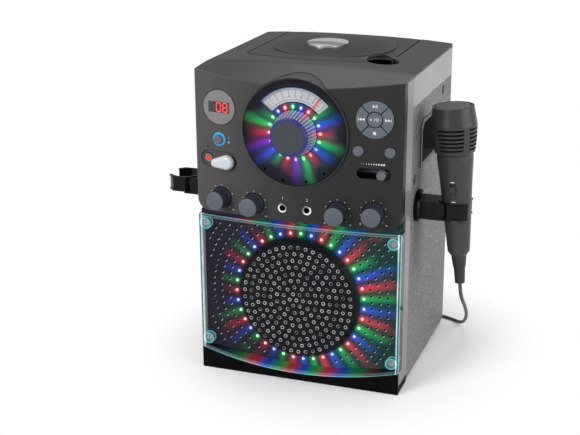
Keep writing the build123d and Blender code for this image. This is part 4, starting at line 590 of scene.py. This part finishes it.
gloss_black = Finish("dial_gloss_black")
streak, streak_turn, streak_radius, streak_light = dial_light(gloss_black)
lamp_glow = (streak_turn - first_lamp).wave(len(dial_lamps)).rise(0.55, 1.0)
lamp_glow = lamp_glow * streak_radius.rise(0.0345, 0.029)
hot = streak.plus((0.12, 0.12, 0.12))
haze_across = gloss_black.axes()
haze = haze_across.rise(-0.05, 0.05).blend((0.022, 0.012, 0.055, 1), (0.006, 0.040, 0.058, 1))
haze_light = streak_radius.rise(0.062, 0.036) * (0.35 + gloss_black.noise(0.02, 1.0))
dress("dial_face", gloss_black.surface(
    colour=(0.006, 0.006, 0.008, 1),
    roughness=0.18,
    specular=0.12,
    glow=streak.scaled(0.95 * streak_light).plus(hot.scaled(0.8 * lamp_glow)).plus(
        haze.scaled(haze_light)),
))
housing = Finish("dial_rim_black")
rim_tone = polar(housing, dial_x, dial_z)[1].rise(0.0612, 0.0617)
dress("dial_housing", housing.surface(
    colour=rim_tone.paints((16, 16, 17), (64, 65, 67)),
    roughness=0.3,
    specular=0.3,
))

# The scale is a curved plate, painted silver and printed with a frame, marks and numbers. It carries a faint
# painted glow, which turns pale blue at its inner and outer edges.
scale_front = -0.1201
scale_half = math.radians(50)
scale_ink = 0.00008
ink_height = 0.00012
scale_numbers = 9

silver = Finish("scale_silver")
silver_radius = polar(silver, dial_x, dial_z)[1]
silver_cloud = silver.noise(0.02)
# Painted glow: pale blue at the scale's inner and outer edges, faint grey over the rest.
painted_edge_glow = silver_radius.rise(0.0475, 0.0513) * 0.5 + silver_radius.rise(0.0375, 0.034) * 0.4
silver_tone = silver_cloud.paints((176, 177, 180), (204, 205, 208))
dress("dial_scale", silver.surface(
    colour=painted_edge_glow.blend(silver_tone, paint(120, 190, 235)),
    roughness=0.35,
    glow=painted_edge_glow.paints((110, 110, 115), (80, 160, 230)),
    strength=0.3,
))
ink = moulded("scale_ink", (40, 42, 50), (60, 62, 70), 0.5)
red_needle = Finish("needle_red")
needle_cloud = red_needle.noise(0.01)
# The needle carries a red painted glow over its red paint.
dress("dial_needle", red_needle.surface(
    colour=needle_cloud.paints((230, 40, 30), (245, 70, 50)),
    roughness=0.35,
    glow=needle_cloud.paints((200, 30, 20), (225, 50, 35)),
    strength=0.4,
))


def ink_bar(width, height, thickness=ink_height):
    """A flat bar of ink lying at the origin, facing up."""
    deselect()
    bpy.ops.mesh.primitive_plane_add(size=1)
    bar = bpy.context.object
    bar.data.transform(Matrix.Diagonal((width, height, 1, 1)))
    thicken(bar, thickness)
    return bar


def number(text, height, thickness=ink_height):
    """A plain number lying at the origin, facing up."""
    deselect()
    bpy.ops.object.text_add()
    words = bpy.context.object
    words.data.body = text
    words.data.size = height / 0.7
    words.data.align_x = "CENTER"
    words.data.align_y = "CENTER"
    words.data.resolution_u = 3
    bpy.ops.object.convert(target="MESH")
    words = bpy.context.object
    thicken(words, thickness)
    return words


def join(name, pieces, material, body):
    """Joins like pieces into one, and hangs it on a body."""
    deselect()
    for piece in pieces:
        piece.select_set(True)
    bpy.context.view_layer.objects.active = pieces[0]
    if len(pieces) > 1:
        bpy.ops.object.join()
    piece = bpy.context.view_layer.objects.active
    piece.name = name
    piece.data.materials.clear()
    piece.data.materials.append(material)
    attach(piece, body)
    return piece


def on_scale(piece, angle, radius):
    """Stands a piece on the scale, this far round the dial and this far from its middle."""
    spin = moved((dial_x, 0, dial_z)) @ Matrix.Rotation(angle, 4, "Y")
    front = moved((0, scale_front, 0)) @ upright
    piece.data.transform(spin @ front @ moved((0, radius, 0)))
    scale_marks.append(piece)


scale_marks = []
for mark in range(scale_numbers):
    angle = scale_half * 0.8 * (1 - 2 * mark / (scale_numbers - 1))
    on_scale(ink_bar(0.0004, 0.0042, scale_ink), -angle, 0.0455)
    on_scale(number(str(mark + 1), 0.0026, scale_ink), -angle, 0.0410)
frame_half = scale_half * 0.92
frame_steps = 24
for radius in (0.0372, 0.0482):
    for step in range(frame_steps):
        angle = frame_half * (1 - 2 * (step + 0.5) / frame_steps)
        line = ink_bar(2.1 * frame_half * radius / frame_steps, 0.00035, scale_ink)
        on_scale(line, -angle, radius)
for side in (-1, 1):
    on_scale(ink_bar(0.00035, 0.011, scale_ink), side * frame_half, 0.0427)
join("scale_marks", scale_marks, ink, "cabinet")

# The twenty lamps are clear beads on a ring board behind the disc.
lamp_ring = Finish("dial_lamps")
lamp_colour = dial_light(lamp_ring)[0]
lamp_depth = lamp_ring.axes().output("Y")
lit = lamp_depth.rise(-0.1215, -0.1225)
tip = lamp_depth.rise(-0.12325, -0.12335)
dress("dial_light_ring", lamp_ring.surface(
    colour=lit.paints((30, 80, 50), (235, 240, 245)),
    roughness=0.3,
    glow=lamp_colour.plus((0.10, 0.10, 0.10)).scaled(lit + 0.6 * tip),
    strength=1.1,
))

# ---- Volume knob
# A big moulded knob with forty flutes. Its flank is frosted and picks up the lamps' light, and a dark
# flat cap with a glossy blue ring closes its front.
knob_finish = Finish("volume_knob_frost")
knob_turn, knob_radius = polar(knob_finish, dial_x, dial_z)
knob_depth = knob_finish.axes().output("Y")
cap = knob_depth.rise(-0.1408, -0.1412)
disc = knob_radius.rise(0.0181, 0.0178)
ring = knob_radius.rise(0.0178, 0.0184) * cap
knob_cloud = knob_finish.noise(0.004)
flutes = 40
# The grooves between the flutes are painted darker than the ridges: painted shade.
painted_groove_shade = knob_turn.wave(flutes).rise(-0.2, 0.9)
ridge_tone = knob_cloud.paints((136, 138, 172), (158, 160, 192))
flank = painted_groove_shade.blend(ridge_tone, paint(72, 74, 112))
front_tone = knob_cloud.paints((46, 49, 60), (52, 55, 66))
toned = cap.blend(flank, disc.blend(paint(26, 28, 78), front_tone))
base_light = knob_depth.rise(-0.138, -0.1215)
blue_ring = ring.blend((0, 0, 0, 1), (0.008, 0.008, 0.10, 1))
dress("volume_knob", knob_finish.surface(
    colour=toned,
    roughness=0.45 - 0.28 * ring,
    glow=knob_turn.ramp(dial_stops).scaled(0.35 * base_light * (1 - cap)).plus(blue_ring),
    normal=knob_finish.grain(0.1, knob_cloud, 0.0005),
))

# ---- Small knobs and buttons
# Four push-on knobs with fluted flanks and smooth slate-grey caps, and push buttons in the same
# plastic. They stand square to the bowed fascia.
bow_radius = 0.8314
bow_front = -0.123


def bow_depth(x):
    """Depth of the bowed front at x."""
    return bow_front + bow_radius - math.sqrt(bow_radius**2 - x**2)


def on_front(x, z, stand=0.0):
    """Place on the bowed front at (x, z), its own Z pointing out of the front."""
    out = Vector((x / bow_radius, -math.sqrt(1 - (x / bow_radius) ** 2), 0))
    across = Vector((-out.y, out.x, 0))
    turn = Matrix((across, Vector((0, 0, 1)), out)).transposed().to_4x4()
    return moved(Vector((x, bow_depth(x), z)) + out * stand) @ turn


def stand_off(finish):
    """How far a point stands out of the bowed front."""
    across = finish.axes()
    back = across.output("Y") - (bow_front + bow_radius)
    return across.across(back) - bow_radius


slate = Finish("slate_knob")
slate_stand = stand_off(slate)
slate_fine = slate.noise(0.0007)
slate_cap = slate_stand.rise(0.0165, 0.0178)
slate_material = slate.surface(
    colour=slate_cap.paints((46, 50, 60), (86, 92, 104)),
    roughness=0.34 + 0.12 * slate_fine,
    normal=slate.grain(0.12, slate_fine, 0.0006),
)
for name in ("voice_control_knob", "balance_knob", "echo_knob", "mic_volume_knob"):
    dress(name, slate_material)
button_grey = moulded("button_grey", (90, 95, 104), (98, 103, 112), 0.4, rounding=0.0005)
for name in ("skip_button", "play_button", "stop_button", "previous_button", "next_button", "mode_button",
             "repeat_button", "disco_slider", "power_button"):
    dress(name, button_grey)

# The white signs printed on the pad: next, previous, play and pause, stop, and the step of ten.
white_ink = Finish("white_ink")
ink_cloud = white_ink.noise(0.002)
white_material = white_ink.surface(
    colour=ink_cloud.paints((225, 226, 228), (238, 239, 240)),
    roughness=0.5,
)


def triangle(size, turn=0.0):
    """A flat triangle lying at the origin, pointing to the right."""
    return flat_shape(3, size, ink_height, turn - math.pi / 2)


def dot(radius):
    """A flat round dot lying at the origin, facing up."""
    return flat_shape(20, radius, ink_height)


def shifted(piece, x, y):
    """The same piece, moved along the face that it lies on."""
    piece.data.transform(moved((x, y, 0)))
    return piece


pad_x = 0.0903
pad_z = 0.3265
pad_stand = 0.0010
sign_offset = 0.0148
sign = 0.0020
stroke = 0.0007


def skip_sign(direction):
    """Two triangles and a bar, pointing right or left."""
    turn = 0.0 if direction > 0 else math.pi
    pieces = [shifted(triangle(sign, turn), direction * step * sign, 0) for step in (-1.3, 0.3)]
    return pieces + [shifted(ink_bar(stroke, 0.0034), direction * 1.6 * sign, 0)]


pause = [shifted(ink_bar(stroke, 0.0034), x, 0) for x in (0.0010, 0.0024)]
pad_signs = (
    ("play_sign", "play", 0, sign_offset, [shifted(triangle(sign), -0.0016, 0), *pause]),
    ("next_sign", "next", sign_offset, 0, skip_sign(1)),
    ("previous_sign", "previous", -sign_offset, 0, skip_sign(-1)),
    ("stop_sign", "stop", 0, -sign_offset, [ink_bar(0.0032, 0.0032)]),
    ("skip_sign", "skip", 0, 0, [shifted(number("10", 0.0040), 0.0014, 0),
                                 shifted(ink_bar(0.0026, stroke), -0.0044, 0),
                                 shifted(ink_bar(stroke, 0.0026), -0.0044, 0)]),
)
for name, body, x, z, pieces in pad_signs:
    for piece in pieces:
        piece.data.transform(on_front(pad_x, pad_z, pad_stand) @ moved((x, z, 0)))
    join(name, pieces, white_material, body)

# Marks printed on the fascia: dots and end numbers round each knob, the jacks' numbers, and the row of
# growing dots over the slide control.
knob_centres = ((-0.0903, 0.2206), (-0.0497, 0.2181), (0.0497, 0.2181), (0.0903, 0.2206))
knob_dots = 9
dot_circle = 0.0148
marks = []


def mark(piece, x, z, aside=0.0, up=0.0):
    """Prints a mark on the fascia, aside from and up from (x, z)."""
    piece.data.transform(on_front(x, z) @ moved((aside, up, 0)))
    marks.append(piece)


for x, z in knob_centres:
    for step in range(knob_dots):
        angle = math.radians(225 - 270 * step / (knob_dots - 1))
        mark(dot(0.00045), x, z, dot_circle * math.cos(angle), dot_circle * math.sin(angle))
    for text, side in (("0", -1), ("10", 1)):
        mark(number(text, 0.0022), x, z, side * 0.0145, -0.0138)
for text, x in (("1", -0.0145), ("2", 0.0145)):
    mark(number(text, 0.0030), x, 0.2288)
slider_dots = 10
for step in range(slider_dots):
    mark(dot(0.0003 + 0.00009 * step), 0.0760 + 0.0028 * step, 0.2765)
for text, z in (("I", 0.2915), ("O", 0.2862)):
    mark(number(text, 0.0024), -0.0800, z)
join("fascia_marks", marks, white_material, "cabinet")

# ---- Display and left-hand controls
# A round grey window with a dark block of three seven-segment digits, the power button in its blue
# ring, and below them a shallow tray that holds the record button and a memory stick in its port.
display_x = -0.0915
display_z = 0.326
digit_size = (0.0052, 0.0100)
digit_pitch = 0.0082
segment = 0.0012
segment_places = {
    "top": (0, 1, "across"), "middle": (0, 0, "across"), "bottom": (0, -1, "across"),
    "high_left": (-1, 0.5, "up"), "high_right": (1, 0.5, "up"),
    "low_left": (-1, -0.5, "up"), "low_right": (1, -0.5, "up"),
}
nought = [name for name in segment_places if name != "middle"]
eight = list(segment_places)

window = Finish("display_window_grey")
window_radius = polar(window, display_x, display_z)[1]
window_across = window.axes((display_x, 0, display_z))
in_block = (window_across.maths("ABSOLUTE").rise(0.0133, 0.0130)
            * window_across.output("Z").maths("ABSOLUTE").rise(0.0064, 0.0061))
window_cloud = window.noise(0.01)
window_grey = window_cloud.paints((122, 119, 120), (132, 129, 130))
window_rim = window_radius.rise(0.0194, 0.0197).blend(window_grey, paint(48, 48, 50))
dress("display_window", window.surface(
    colour=in_block.blend(window_rim, paint(40, 30, 34)),
    roughness=0.4 - 0.25 * in_block,
    coat=0.3,
))


def digit(lit, x):
    """One seven-segment digit of the display, as its segments in lit, at x on the window."""
    pieces = []
    for name in lit:
        across, up, lie = segment_places[name]
        piece = flat_shape(6, 1, turn=math.pi / 6)
        long = digit_size[0] * 0.5 if lie == "across" else digit_size[1] * 0.235
        piece.data.transform(Matrix.Diagonal((long, segment * 0.62, 1, 1)))
        for corner in piece.data.vertices:
            if abs(corner.co.x) > long * 0.95:
                corner.co.x = math.copysign(long, corner.co.x)
            elif abs(corner.co.x) > long * 0.5:
                corner.co.x = math.copysign(long - segment * 0.6, corner.co.x)
        if lie == "up":
            piece.data.transform(Matrix.Rotation(math.pi / 2, 4, "Z"))
        thicken(piece, 0.0001)
        middle = (x + across * digit_size[0] / 2, up * digit_size[1] / 2, 0)
        piece.data.transform(on_front(display_x, display_z, 0.0003) @ moved(middle))
        pieces.append(piece)
    return pieces


glow_red = Finish("digit_red")
glow_cloud = glow_red.noise(0.003)
digit_red = glow_red.surface(
    colour=paint(220, 60, 60),
    roughness=0.3,
    glow=glow_cloud.paints((226, 66, 66), (236, 84, 80)),
    strength=0.95,
)
unlit_red = moulded("digit_unlit", (70, 62, 66), (76, 68, 72), 0.4, rounding=0.0001)
join("display_digits", digit(nought, -0.0004) + digit(eight, digit_pitch - 0.0004), digit_red, "cabinet")
join("display_unlit_digit", digit(eight, -digit_pitch - 0.0004), unlit_red, "cabinet")

ring_blue = Finish("power_ring_blue")
blue_cloud = ring_blue.noise(0.004)
dress("power_ring", ring_blue.surface(
    colour=blue_cloud.paints((36, 150, 205), (60, 180, 228)),
    roughness=0.2,
    coat=0.5,
    glow=blue_cloud.paints((10, 80, 120), (20, 100, 140)),
    strength=0.6,
))

record_x = -0.1075
record_z = 0.265
record = Finish("record_button_red")
record_radius = polar(record, record_x, record_z)[1]
record_fine = record.noise(0.002)
record_dot = record_radius.rise(0.0032, 0.0028)
record_ring = record_radius.rise(0.0050, 0.0053)
record_grey = record_fine.paints((112, 112, 114), (124, 124, 126))
dress("record_button", record.surface(
    colour=record_ring.blend(record_dot.blend(record_grey, paint(226, 56, 44)), paint(30, 30, 32)),
    roughness=0.35 + 0.1 * record_fine,
    glow=record_dot.blend((0, 0, 0, 1), paint(120, 10, 6)),
    strength=0.5,
))
dress("usb_stick", moulded("stick_white", (206, 209, 213), (224, 227, 230), 0.3, grain=0.05,
                           coat=0.4))
dress("usb_port", moulded("port_steel", (120, 120, 124), (170, 170, 174), 0.3, grain=0.05))

# ---- Microphone jacks
# Two 6.35 mm jack sockets, each with a bright screwed ring round a black bore.
jack_x = 0.0145
jack_z = 0.2171
jack = Finish("jack_chrome")
jack_across = jack.axes()
jack_side = jack_across.maths("ABSOLUTE") - jack_x
jack_up = jack_across.output("Z") - jack_z
jack_radius = jack_side.across(jack_up)
jack_bright = jack_radius.rise(0.0034, 0.0036) * stand_off(jack).rise(-0.0005, 0.0002)
jack_fine = jack.noise(0.001)
# The bright ring is painted darker towards its upper inner side and near-white towards its lower outer side:
# a painted reflection.
jack_shade = (jack_side - jack_up).rise(-0.006, 0.005)
jack_tone = jack_shade.paints((120, 121, 124), (246, 246, 248))
dress("mic_jacks", jack.surface(
    colour=jack_bright.blend(paint(10, 10, 11), jack_tone),
    metallic=jack_bright,
    roughness=0.14 + 0.08 * jack_fine,
    normal=jack.edge(0.0006),
))

# ---- Speaker front
# A black moulded baffle with a round raised island. The island is drilled in rings, each hole with a
# bright eyelet, and small cups fill the field round it, each a near-black disc of painted shade with a
# pale crescent lip of painted highlight. Lamps round its foot light it in three colours.
speaker_x = 0.0
speaker_z = 0.1045
speaker_lamps = 39
lamp_order = ("green", "red", "blue")
first_speaker_lamp = 5.6 / 360
field_depth = -0.108
island_inset = 0.004


def speaker_light(finish):
    """Colour of the lamps round the speaker and how bright their light is at each point."""
    turn, radius = polar(finish, speaker_x, speaker_z)
    across = finish.axes()
    groups = speaker_lamps / len(lamp_order)
    wander = (finish.noise(0.02, 1.0) - 0.5) * 0.006
    bent = turn + wander - first_speaker_lamp
    share = (bent * groups).maths("FLOORED_MODULO", 1.0)
    colours = [lamp_colours[name] for name in lamp_order]
    stops = [(number / 3, colour) for number, colour in enumerate((*colours, colours[0]))]
    fan = 0.12 + 0.88 * (0.5 + 0.5 * bent.wave(speaker_lamps))
    side = across.rise(-0.06, 0.08)
    reach = finish.noise(0.03, 1.0).rise(0.35, 0.7)
    fade = (1 - (radius - 0.0745) / (0.020 + 0.022 * side + 0.030 * reach)).maths("MAXIMUM", 0.0) ** 1.5
    fade = fade * (0.45 + 0.55 * side)
    outside = radius.rise(0.0735, 0.0765)
    return share.ramp(stops), fan * fade * outside, radius


def field_glow(finish):
    """The faint mixed light that fills the field: violet on the left, sea green on the right."""
    across = finish.axes()
    side = across.rise(-0.10, 0.10)
    mixed = side.blend((0.008, 0.006, 0.015, 1), (0.003, 0.030, 0.026, 1))
    cloud = finish.noise(0.05, 1.0)
    return mixed.scaled(0.5 + 1.0 * cloud)


baffle = Finish("baffle_black")
baffle_colour, baffle_light, baffle_radius = speaker_light(baffle)
baffle_fine = baffle.noise(0.006)
in_field = baffle_radius.rise(0.070, 0.078)
dress("baffle", baffle.surface(
    colour=baffle_fine.paints((14, 14, 18), (20, 20, 24)),
    roughness=0.4 + 0.1 * baffle_fine,
    specular=0.12,
    glow=baffle_colour.scaled(0.8 * baffle_light).plus(field_glow(baffle).scaled(in_field)),
))

lamps = Finish("speaker_lamps")
lamps_colour = speaker_light(lamps)[0]
lamps_depth = lamps.axes().output("Y")
lamps_lit = lamps_depth.rise(-0.1060, -0.1064)
dress("speaker_light_ring", lamps.surface(
    colour=lamps_lit.paints((30, 80, 50), (235, 240, 245)),
    roughness=0.3,
    glow=lamps_colour.plus((0.14, 0.14, 0.14)).scaled(lamps_lit),
    strength=1.2,
))


def scattered(name, first, places, material, body):
    """Copies a piece that faces the front to each (x, depth, z), and joins the copies."""
    copies = []
    for x, depth, z in places:
        copy = first.copy()
        copy.data = first.data.copy()
        copy.data.transform(moved((x, depth, z)))
        scene.collection.objects.link(copy)
        copies.append(copy)
    bpy.data.objects.remove(first)
    return join(name, copies, material, body)


hole_rings = 8
hole_pitch = 0.0081
holes_per_ring = 5.625
eyelet_radius = 0.00185
eyelet_wire = 0.00036
hole_places = []
for ring in range(hole_rings + 1):
    count = max(1, round(holes_per_ring * ring))
    for step in range(count):
        angle = 2 * math.pi * step / count
        x = ring * hole_pitch * math.cos(angle)
        z = speaker_z + ring * hole_pitch * math.sin(angle)
        hole_places.append((x, bow_depth(x) + island_inset, z))
deselect()
bpy.ops.mesh.primitive_torus_add(major_radius=eyelet_radius, minor_radius=eyelet_wire,
                                 major_segments=14, minor_segments=6)
eyelet = bpy.context.object
eyelet.data.transform(upright)
for face in eyelet.data.polygons:
    face.use_smooth = True
eyelet_finish = Finish("eyelet_metal")
eyelet_cloud = eyelet_finish.noise(0.01)
eyelet_metal = eyelet_finish.surface(
    colour=eyelet_cloud.rise(0.3, 0.65).paints((112, 114, 118), (232, 233, 236)),
    metallic=0.3,
    roughness=0.3,
)
scattered("grille_eyelets", eyelet, hole_places, eyelet_metal, "cabinet")

cup_radius = 0.0014
cup_pitch = 0.0079
cup_field = 0.113
cup_low = 0.024
cup_high = 0.189
boss_x = 0.1135
boss_heights = (0.185, 0.039)
boss_clear = 0.0095
cup_places = []
cup_rings = [0.088 + 0.0098 * ring for ring in range(8)]
for radius in cup_rings:
    count = round(2 * math.pi * radius / cup_pitch)
    for step in range(count):
        angle = 2 * math.pi * (step + 0.5) / count
        x = radius * math.cos(angle)
        z = speaker_z + radius * math.sin(angle)
        from_boss = min(math.hypot(abs(x) - boss_x, z - high) for high in boss_heights)
        if abs(x) < cup_field and cup_low + x * x < z < cup_high and from_boss > boss_clear:
            cup_places.append((x, field_depth, z))
# Each cup is a thin near-black disc lying on the field: painted shade standing for the hollow of a dimple.
cup = flat_shape(12, cup_radius, 0.00015)
cup.data.transform(upright)
cup_painted_shade = moulded("cup_painted_shade", (4, 4, 5), (9, 9, 10), 0.4, grain=0.0, specular=0.15,
                    rounding=0.0001)
scattered("baffle_cups", cup, cup_places, cup_painted_shade, "cabinet")

# A pale crescent lip round the lower and right side of each cup is a painted highlight, where the cup's wall
# would catch the light; it also takes the lamps' light.
lip_steps = 8
lip_start = math.radians(-125)
lip_end = math.radians(40)
lip_points = []
for step in range(lip_steps + 1):
    share = step / lip_steps
    angle = lip_start + (lip_end - lip_start) * share
    inner = cup_radius - 0.0007 * math.sin(math.pi * share)
    for radius in (cup_radius + 0.0002, inner):
        lip_points.append((radius * math.cos(angle), radius * math.sin(angle), 0.0))
lip_faces = [(2 * step, 2 * step + 2, 2 * step + 3, 2 * step + 1) for step in range(lip_steps)]
lip = shaped("lip", lip_points, lip_faces)
thicken(lip, 0.0003)
lip.data.transform(upright)
lip_finish = Finish("cup_lip")
lip_colour, lip_light = speaker_light(lip_finish)[:2]
lip_cloud = lip_finish.noise(0.012)
lip_painted_highlight = lip_finish.surface(
    colour=lip_cloud.rise(0.3, 0.7).paints((120, 122, 130), (216, 218, 226)),
    roughness=0.35,
    glow=lip_colour.scaled(0.5 * lip_light),
)
scattered("cup_lip_highlights", lip, cup_places, lip_painted_highlight, "cabinet")

# ---- Clear cover
# One clear moulding over the whole speaker front, with a thin wall all round, held by a screw in a
# boss at each corner. Its top and bottom walls carry the lamps' light, and its edges and bosses glow
# aqua and pale blue as painted highlights.
cover_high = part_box("clear_cover")[1]
cover_wall = 0.0025
cover_arch = 1.115
cover_bottom = 0.0135

cover = Finish("clear_cover_plastic")
cover_colour = speaker_light(cover)[0]
cover_across = cover.axes()
cover_side = cover_across.maths("ABSOLUTE")
cover_up = cover_across.output("Z")
side_wall = cover_side.rise(cover_high[0] - cover_wall - 0.0004, cover_high[0] - cover_wall + 0.0002)
top_wall = cover_up.rise(cover_high[2] - cover_wall - 0.0004, cover_high[2] - cover_wall + 0.0002)
over_arch = cover_up - cover_bottom - cover_across * cover_across / cover_arch
low_wall = over_arch.rise(cover_wall + 0.0006, cover_wall)
near_front = stand_off(cover).rise(-0.0036, -0.0024)
boss_side = cover_side - boss_x
boss_middle = sum(boss_heights) / 2
boss_up = (cover_up - boss_middle).maths("ABSOLUTE") - (boss_heights[0] - boss_middle)
boss_distance = boss_side.across(boss_up)
boss = boss_distance.rise(0.0074, 0.0066)
cover_cloud = cover.noise(0.02)
walls = side_wall.maths("MAXIMUM", top_wall).maths("MAXIMUM", low_wall)
from_side = cover_high[0] - cover_side
from_edge = from_side.maths("MINIMUM", cover_high[2] - cover_up).maths("MINIMUM", over_arch)
outer_line = from_edge.rise(0.0010, 0.0004) * near_front
inner_line = (from_edge - 0.0027).maths("ABSOLUTE").rise(0.0007, 0.0003) * near_front
side_line = (from_side - 0.0030).maths("ABSOLUTE").rise(0.0011, 0.0005) * near_front
# Aqua lines along the outer edge, pale lines inside it and along the sides, and the glowing bosses and their
# rims are painted highlights.
aqua = cover_cloud.blend((0.10, 0.48, 0.52, 1), (0.45, 0.80, 0.85, 1))
pale = cover_cloud.rise(0.35, 0.65).blend((0.35, 0.75, 0.80, 1), (0.90, 0.97, 1.0, 1))
spread = top_wall.maths("MAXIMUM", low_wall) * cover_side.rise(0.105, 0.045)
boss_rim = boss_distance.rise(0.0050, 0.0064) * boss
glow = aqua.scaled(0.45 * outer_line + 0.10 * boss + 0.5 * boss_rim)
glow = glow.plus(pale.scaled(0.30 * inner_line + 0.6 * side_line))
glow = glow.plus(cover_colour.scaled(spread * (0.30 + 0.35 * low_wall)))
facing = cover.node("ShaderNodeLayerWeight", {}, {"Blend": 0.25}, "Fresnel")
cover_alpha = 0.008 + 0.05 * facing + 0.16 * walls + 0.5 * side_wall
cover_alpha = cover_alpha + 0.5 * outer_line + 0.35 * inner_line
dress("clear_cover", cover.surface(
    colour=boss.blend((0.02, 0.06, 0.07, 1), (0.04, 0.34, 0.36, 1)),
    roughness=0.08,
    alpha=(cover_alpha + 0.5 * side_line + 0.35 * boss + 0.3 * boss_rim).maths("MINIMUM", 1.0),
    glow=glow,
))

# ---- Microphone clips
# Each clip is an open eight-sided ring on a round foot, moulded in glossy black plastic. One screw
# through the foot holds it to the cabinet's side.
clip_black = moulded("clip_black", (7, 7, 8), (10, 10, 11), 0.2, grain=0.05, coat=0.05,
                     specular=0.15, rounding=0.0008)
dress("mic_clip_left", clip_black)
dress("mic_clip_right", clip_black)

# ---- Microphone
# A hand microphone in satin black plastic. A flat woven wire mesh closes its vented head, and a slide
# switch sits in the front of the grip.
microphone_lean = math.radians(4.31)
microphone_up = Vector((-math.sin(microphone_lean), 0, math.cos(microphone_lean)))
clip_middle = Vector((0.169, -0.046, 0.21275))
microphone_top = clip_middle + microphone_up * 0.119
microphone_front = Vector((0, -1, 0))
microphone_place = moved(microphone_top) @ Matrix(
    (microphone_front, microphone_up.cross(microphone_front), microphone_up)).transposed().to_4x4()

microphone_black = moulded("microphone_black", (52, 52, 53), (60, 60, 61), 0.34, grain=0.12,
                           specular=0.35, rounding=0.0007)
dress("mic_body", microphone_black)
dress("mic_switch", moulded("switch_black", (34, 34, 35), (44, 44, 45), 0.35))
dress("mic_strain_relief", moulded("relief_rubber", (30, 30, 31), (38, 38, 39), 0.5))
dress("mic_grille", moulded("foam_black", (10, 10, 10), (20, 20, 20), 0.9, grain=0.8,
                            grain_size=0.001))
dress("mic_plug", moulded("plug_black", (28, 28, 29), (36, 36, 37), 0.4))

mesh_radius = 0.0209
mesh_cells = 21
mesh_size = 0.046
mesh_wave = 0.00025
mesh_crown = 0.0006
flat_share = 0.6
wire = 0.0008
deselect()
bpy.ops.mesh.primitive_grid_add(x_subdivisions=mesh_cells, y_subdivisions=mesh_cells, size=mesh_size)
mesh = bpy.context.object
cell = mesh_size / mesh_cells
mesh.data.polygons.foreach_set("select", [False] * len(mesh.data.polygons))
mesh.data.edges.foreach_set("select", [False] * len(mesh.data.edges))
for point in mesh.data.vertices:
    column = round((point.co.x + mesh_size / 2) / cell)
    row = round((point.co.y + mesh_size / 2) / cell)
    distance = point.co.xy.length
    fall = mesh_crown * max(0.0, distance / mesh_radius - flat_share) / (1 - flat_share)
    point.co.z = mesh_wave * (-1) ** (column + row) - fall + 0.0002
    point.select = distance > mesh_radius - 0.0003
bpy.ops.object.mode_set(mode="EDIT")
bpy.ops.mesh.delete(type="VERT")
bpy.ops.object.mode_set(mode="OBJECT")
wires = mesh.modifiers.new("wires", "WIREFRAME")
wires.thickness = wire
wires.use_boundary = True
bpy.ops.object.modifier_apply(modifier="wires")
mesh.data.transform(microphone_place @ Matrix.Rotation(math.radians(28), 4, "Z"))
mesh_finish = Finish("mesh_black")
mesh_fine = mesh_finish.noise(0.0015)
mesh_black = mesh_finish.surface(
    colour=mesh_fine.paints((84, 84, 86), (128, 128, 130)),
    metallic=0.5,
    roughness=0.35,
)
join("microphone_mesh", [mesh], mesh_black, "microphone")

# The grip tapers evenly from its top to its end, and the marks lie on it over and under the switch.
grip_top, grip_top_radius = 0.087, 0.0184
grip_end, grip_end_radius = 0.153, 0.0141
switch_marks = []
for distance, tall in ((0.0838, 0.0012), (0.1072, 0.0010)):
    mark = ink_bar(tall, 0.0042, 0.0001)
    share = (distance - grip_top) / (grip_end - grip_top)
    radius = grip_top_radius + (grip_end_radius - grip_top_radius) * share
    lie = moved((radius - 0.00002, 0, -distance)) @ Matrix.Rotation(math.radians(90), 4, "Y")
    mark.data.transform(microphone_place @ lie)
    switch_marks.append(mark)
join("switch_marks", switch_marks, white_material, "microphone")

# ---- Inside the cabinet
# Speaker, boards, controls and disc drive. They show through the holes, under the open lid and behind
# the fascia, and have plain factory finishes.
steel = Finish("plated_steel")
steel_cloud = steel.noise(0.01)
plated = steel.surface(
    colour=steel_cloud.paints((150, 152, 156), (186, 188, 192)),
    metallic=0.8,
    roughness=0.3 + 0.15 * steel_cloud,
)
for name in ("control_pots", "deck_mechanism", "power_transformer"):
    dress(name, plated)
dress("speaker_frame", moulded("speaker_black", (14, 14, 15), (22, 22, 23), 0.5))
dress("speaker_cone", moulded("cone_paper", (16, 16, 17), (26, 26, 27), 0.9, grain=0.6))
board_green = moulded("board_green", (20, 70, 44), (28, 92, 58), 0.4, cloud=0.004)
for name in ("control_board", "main_board"):
    dress(name, board_green)
dress("turntable", moulded("turntable_black", (24, 24, 25), (34, 34, 35), 0.4))
dress("sled_gear", moulded("gear_white", (206, 206, 204), (224, 224, 222), 0.45))
dress("pickup_sled", moulded("sled_grey", (60, 60, 62), (76, 76, 78), 0.45))
dress("rear_sockets", moulded("socket_black", (16, 16, 17), (24, 24, 25), 0.4))
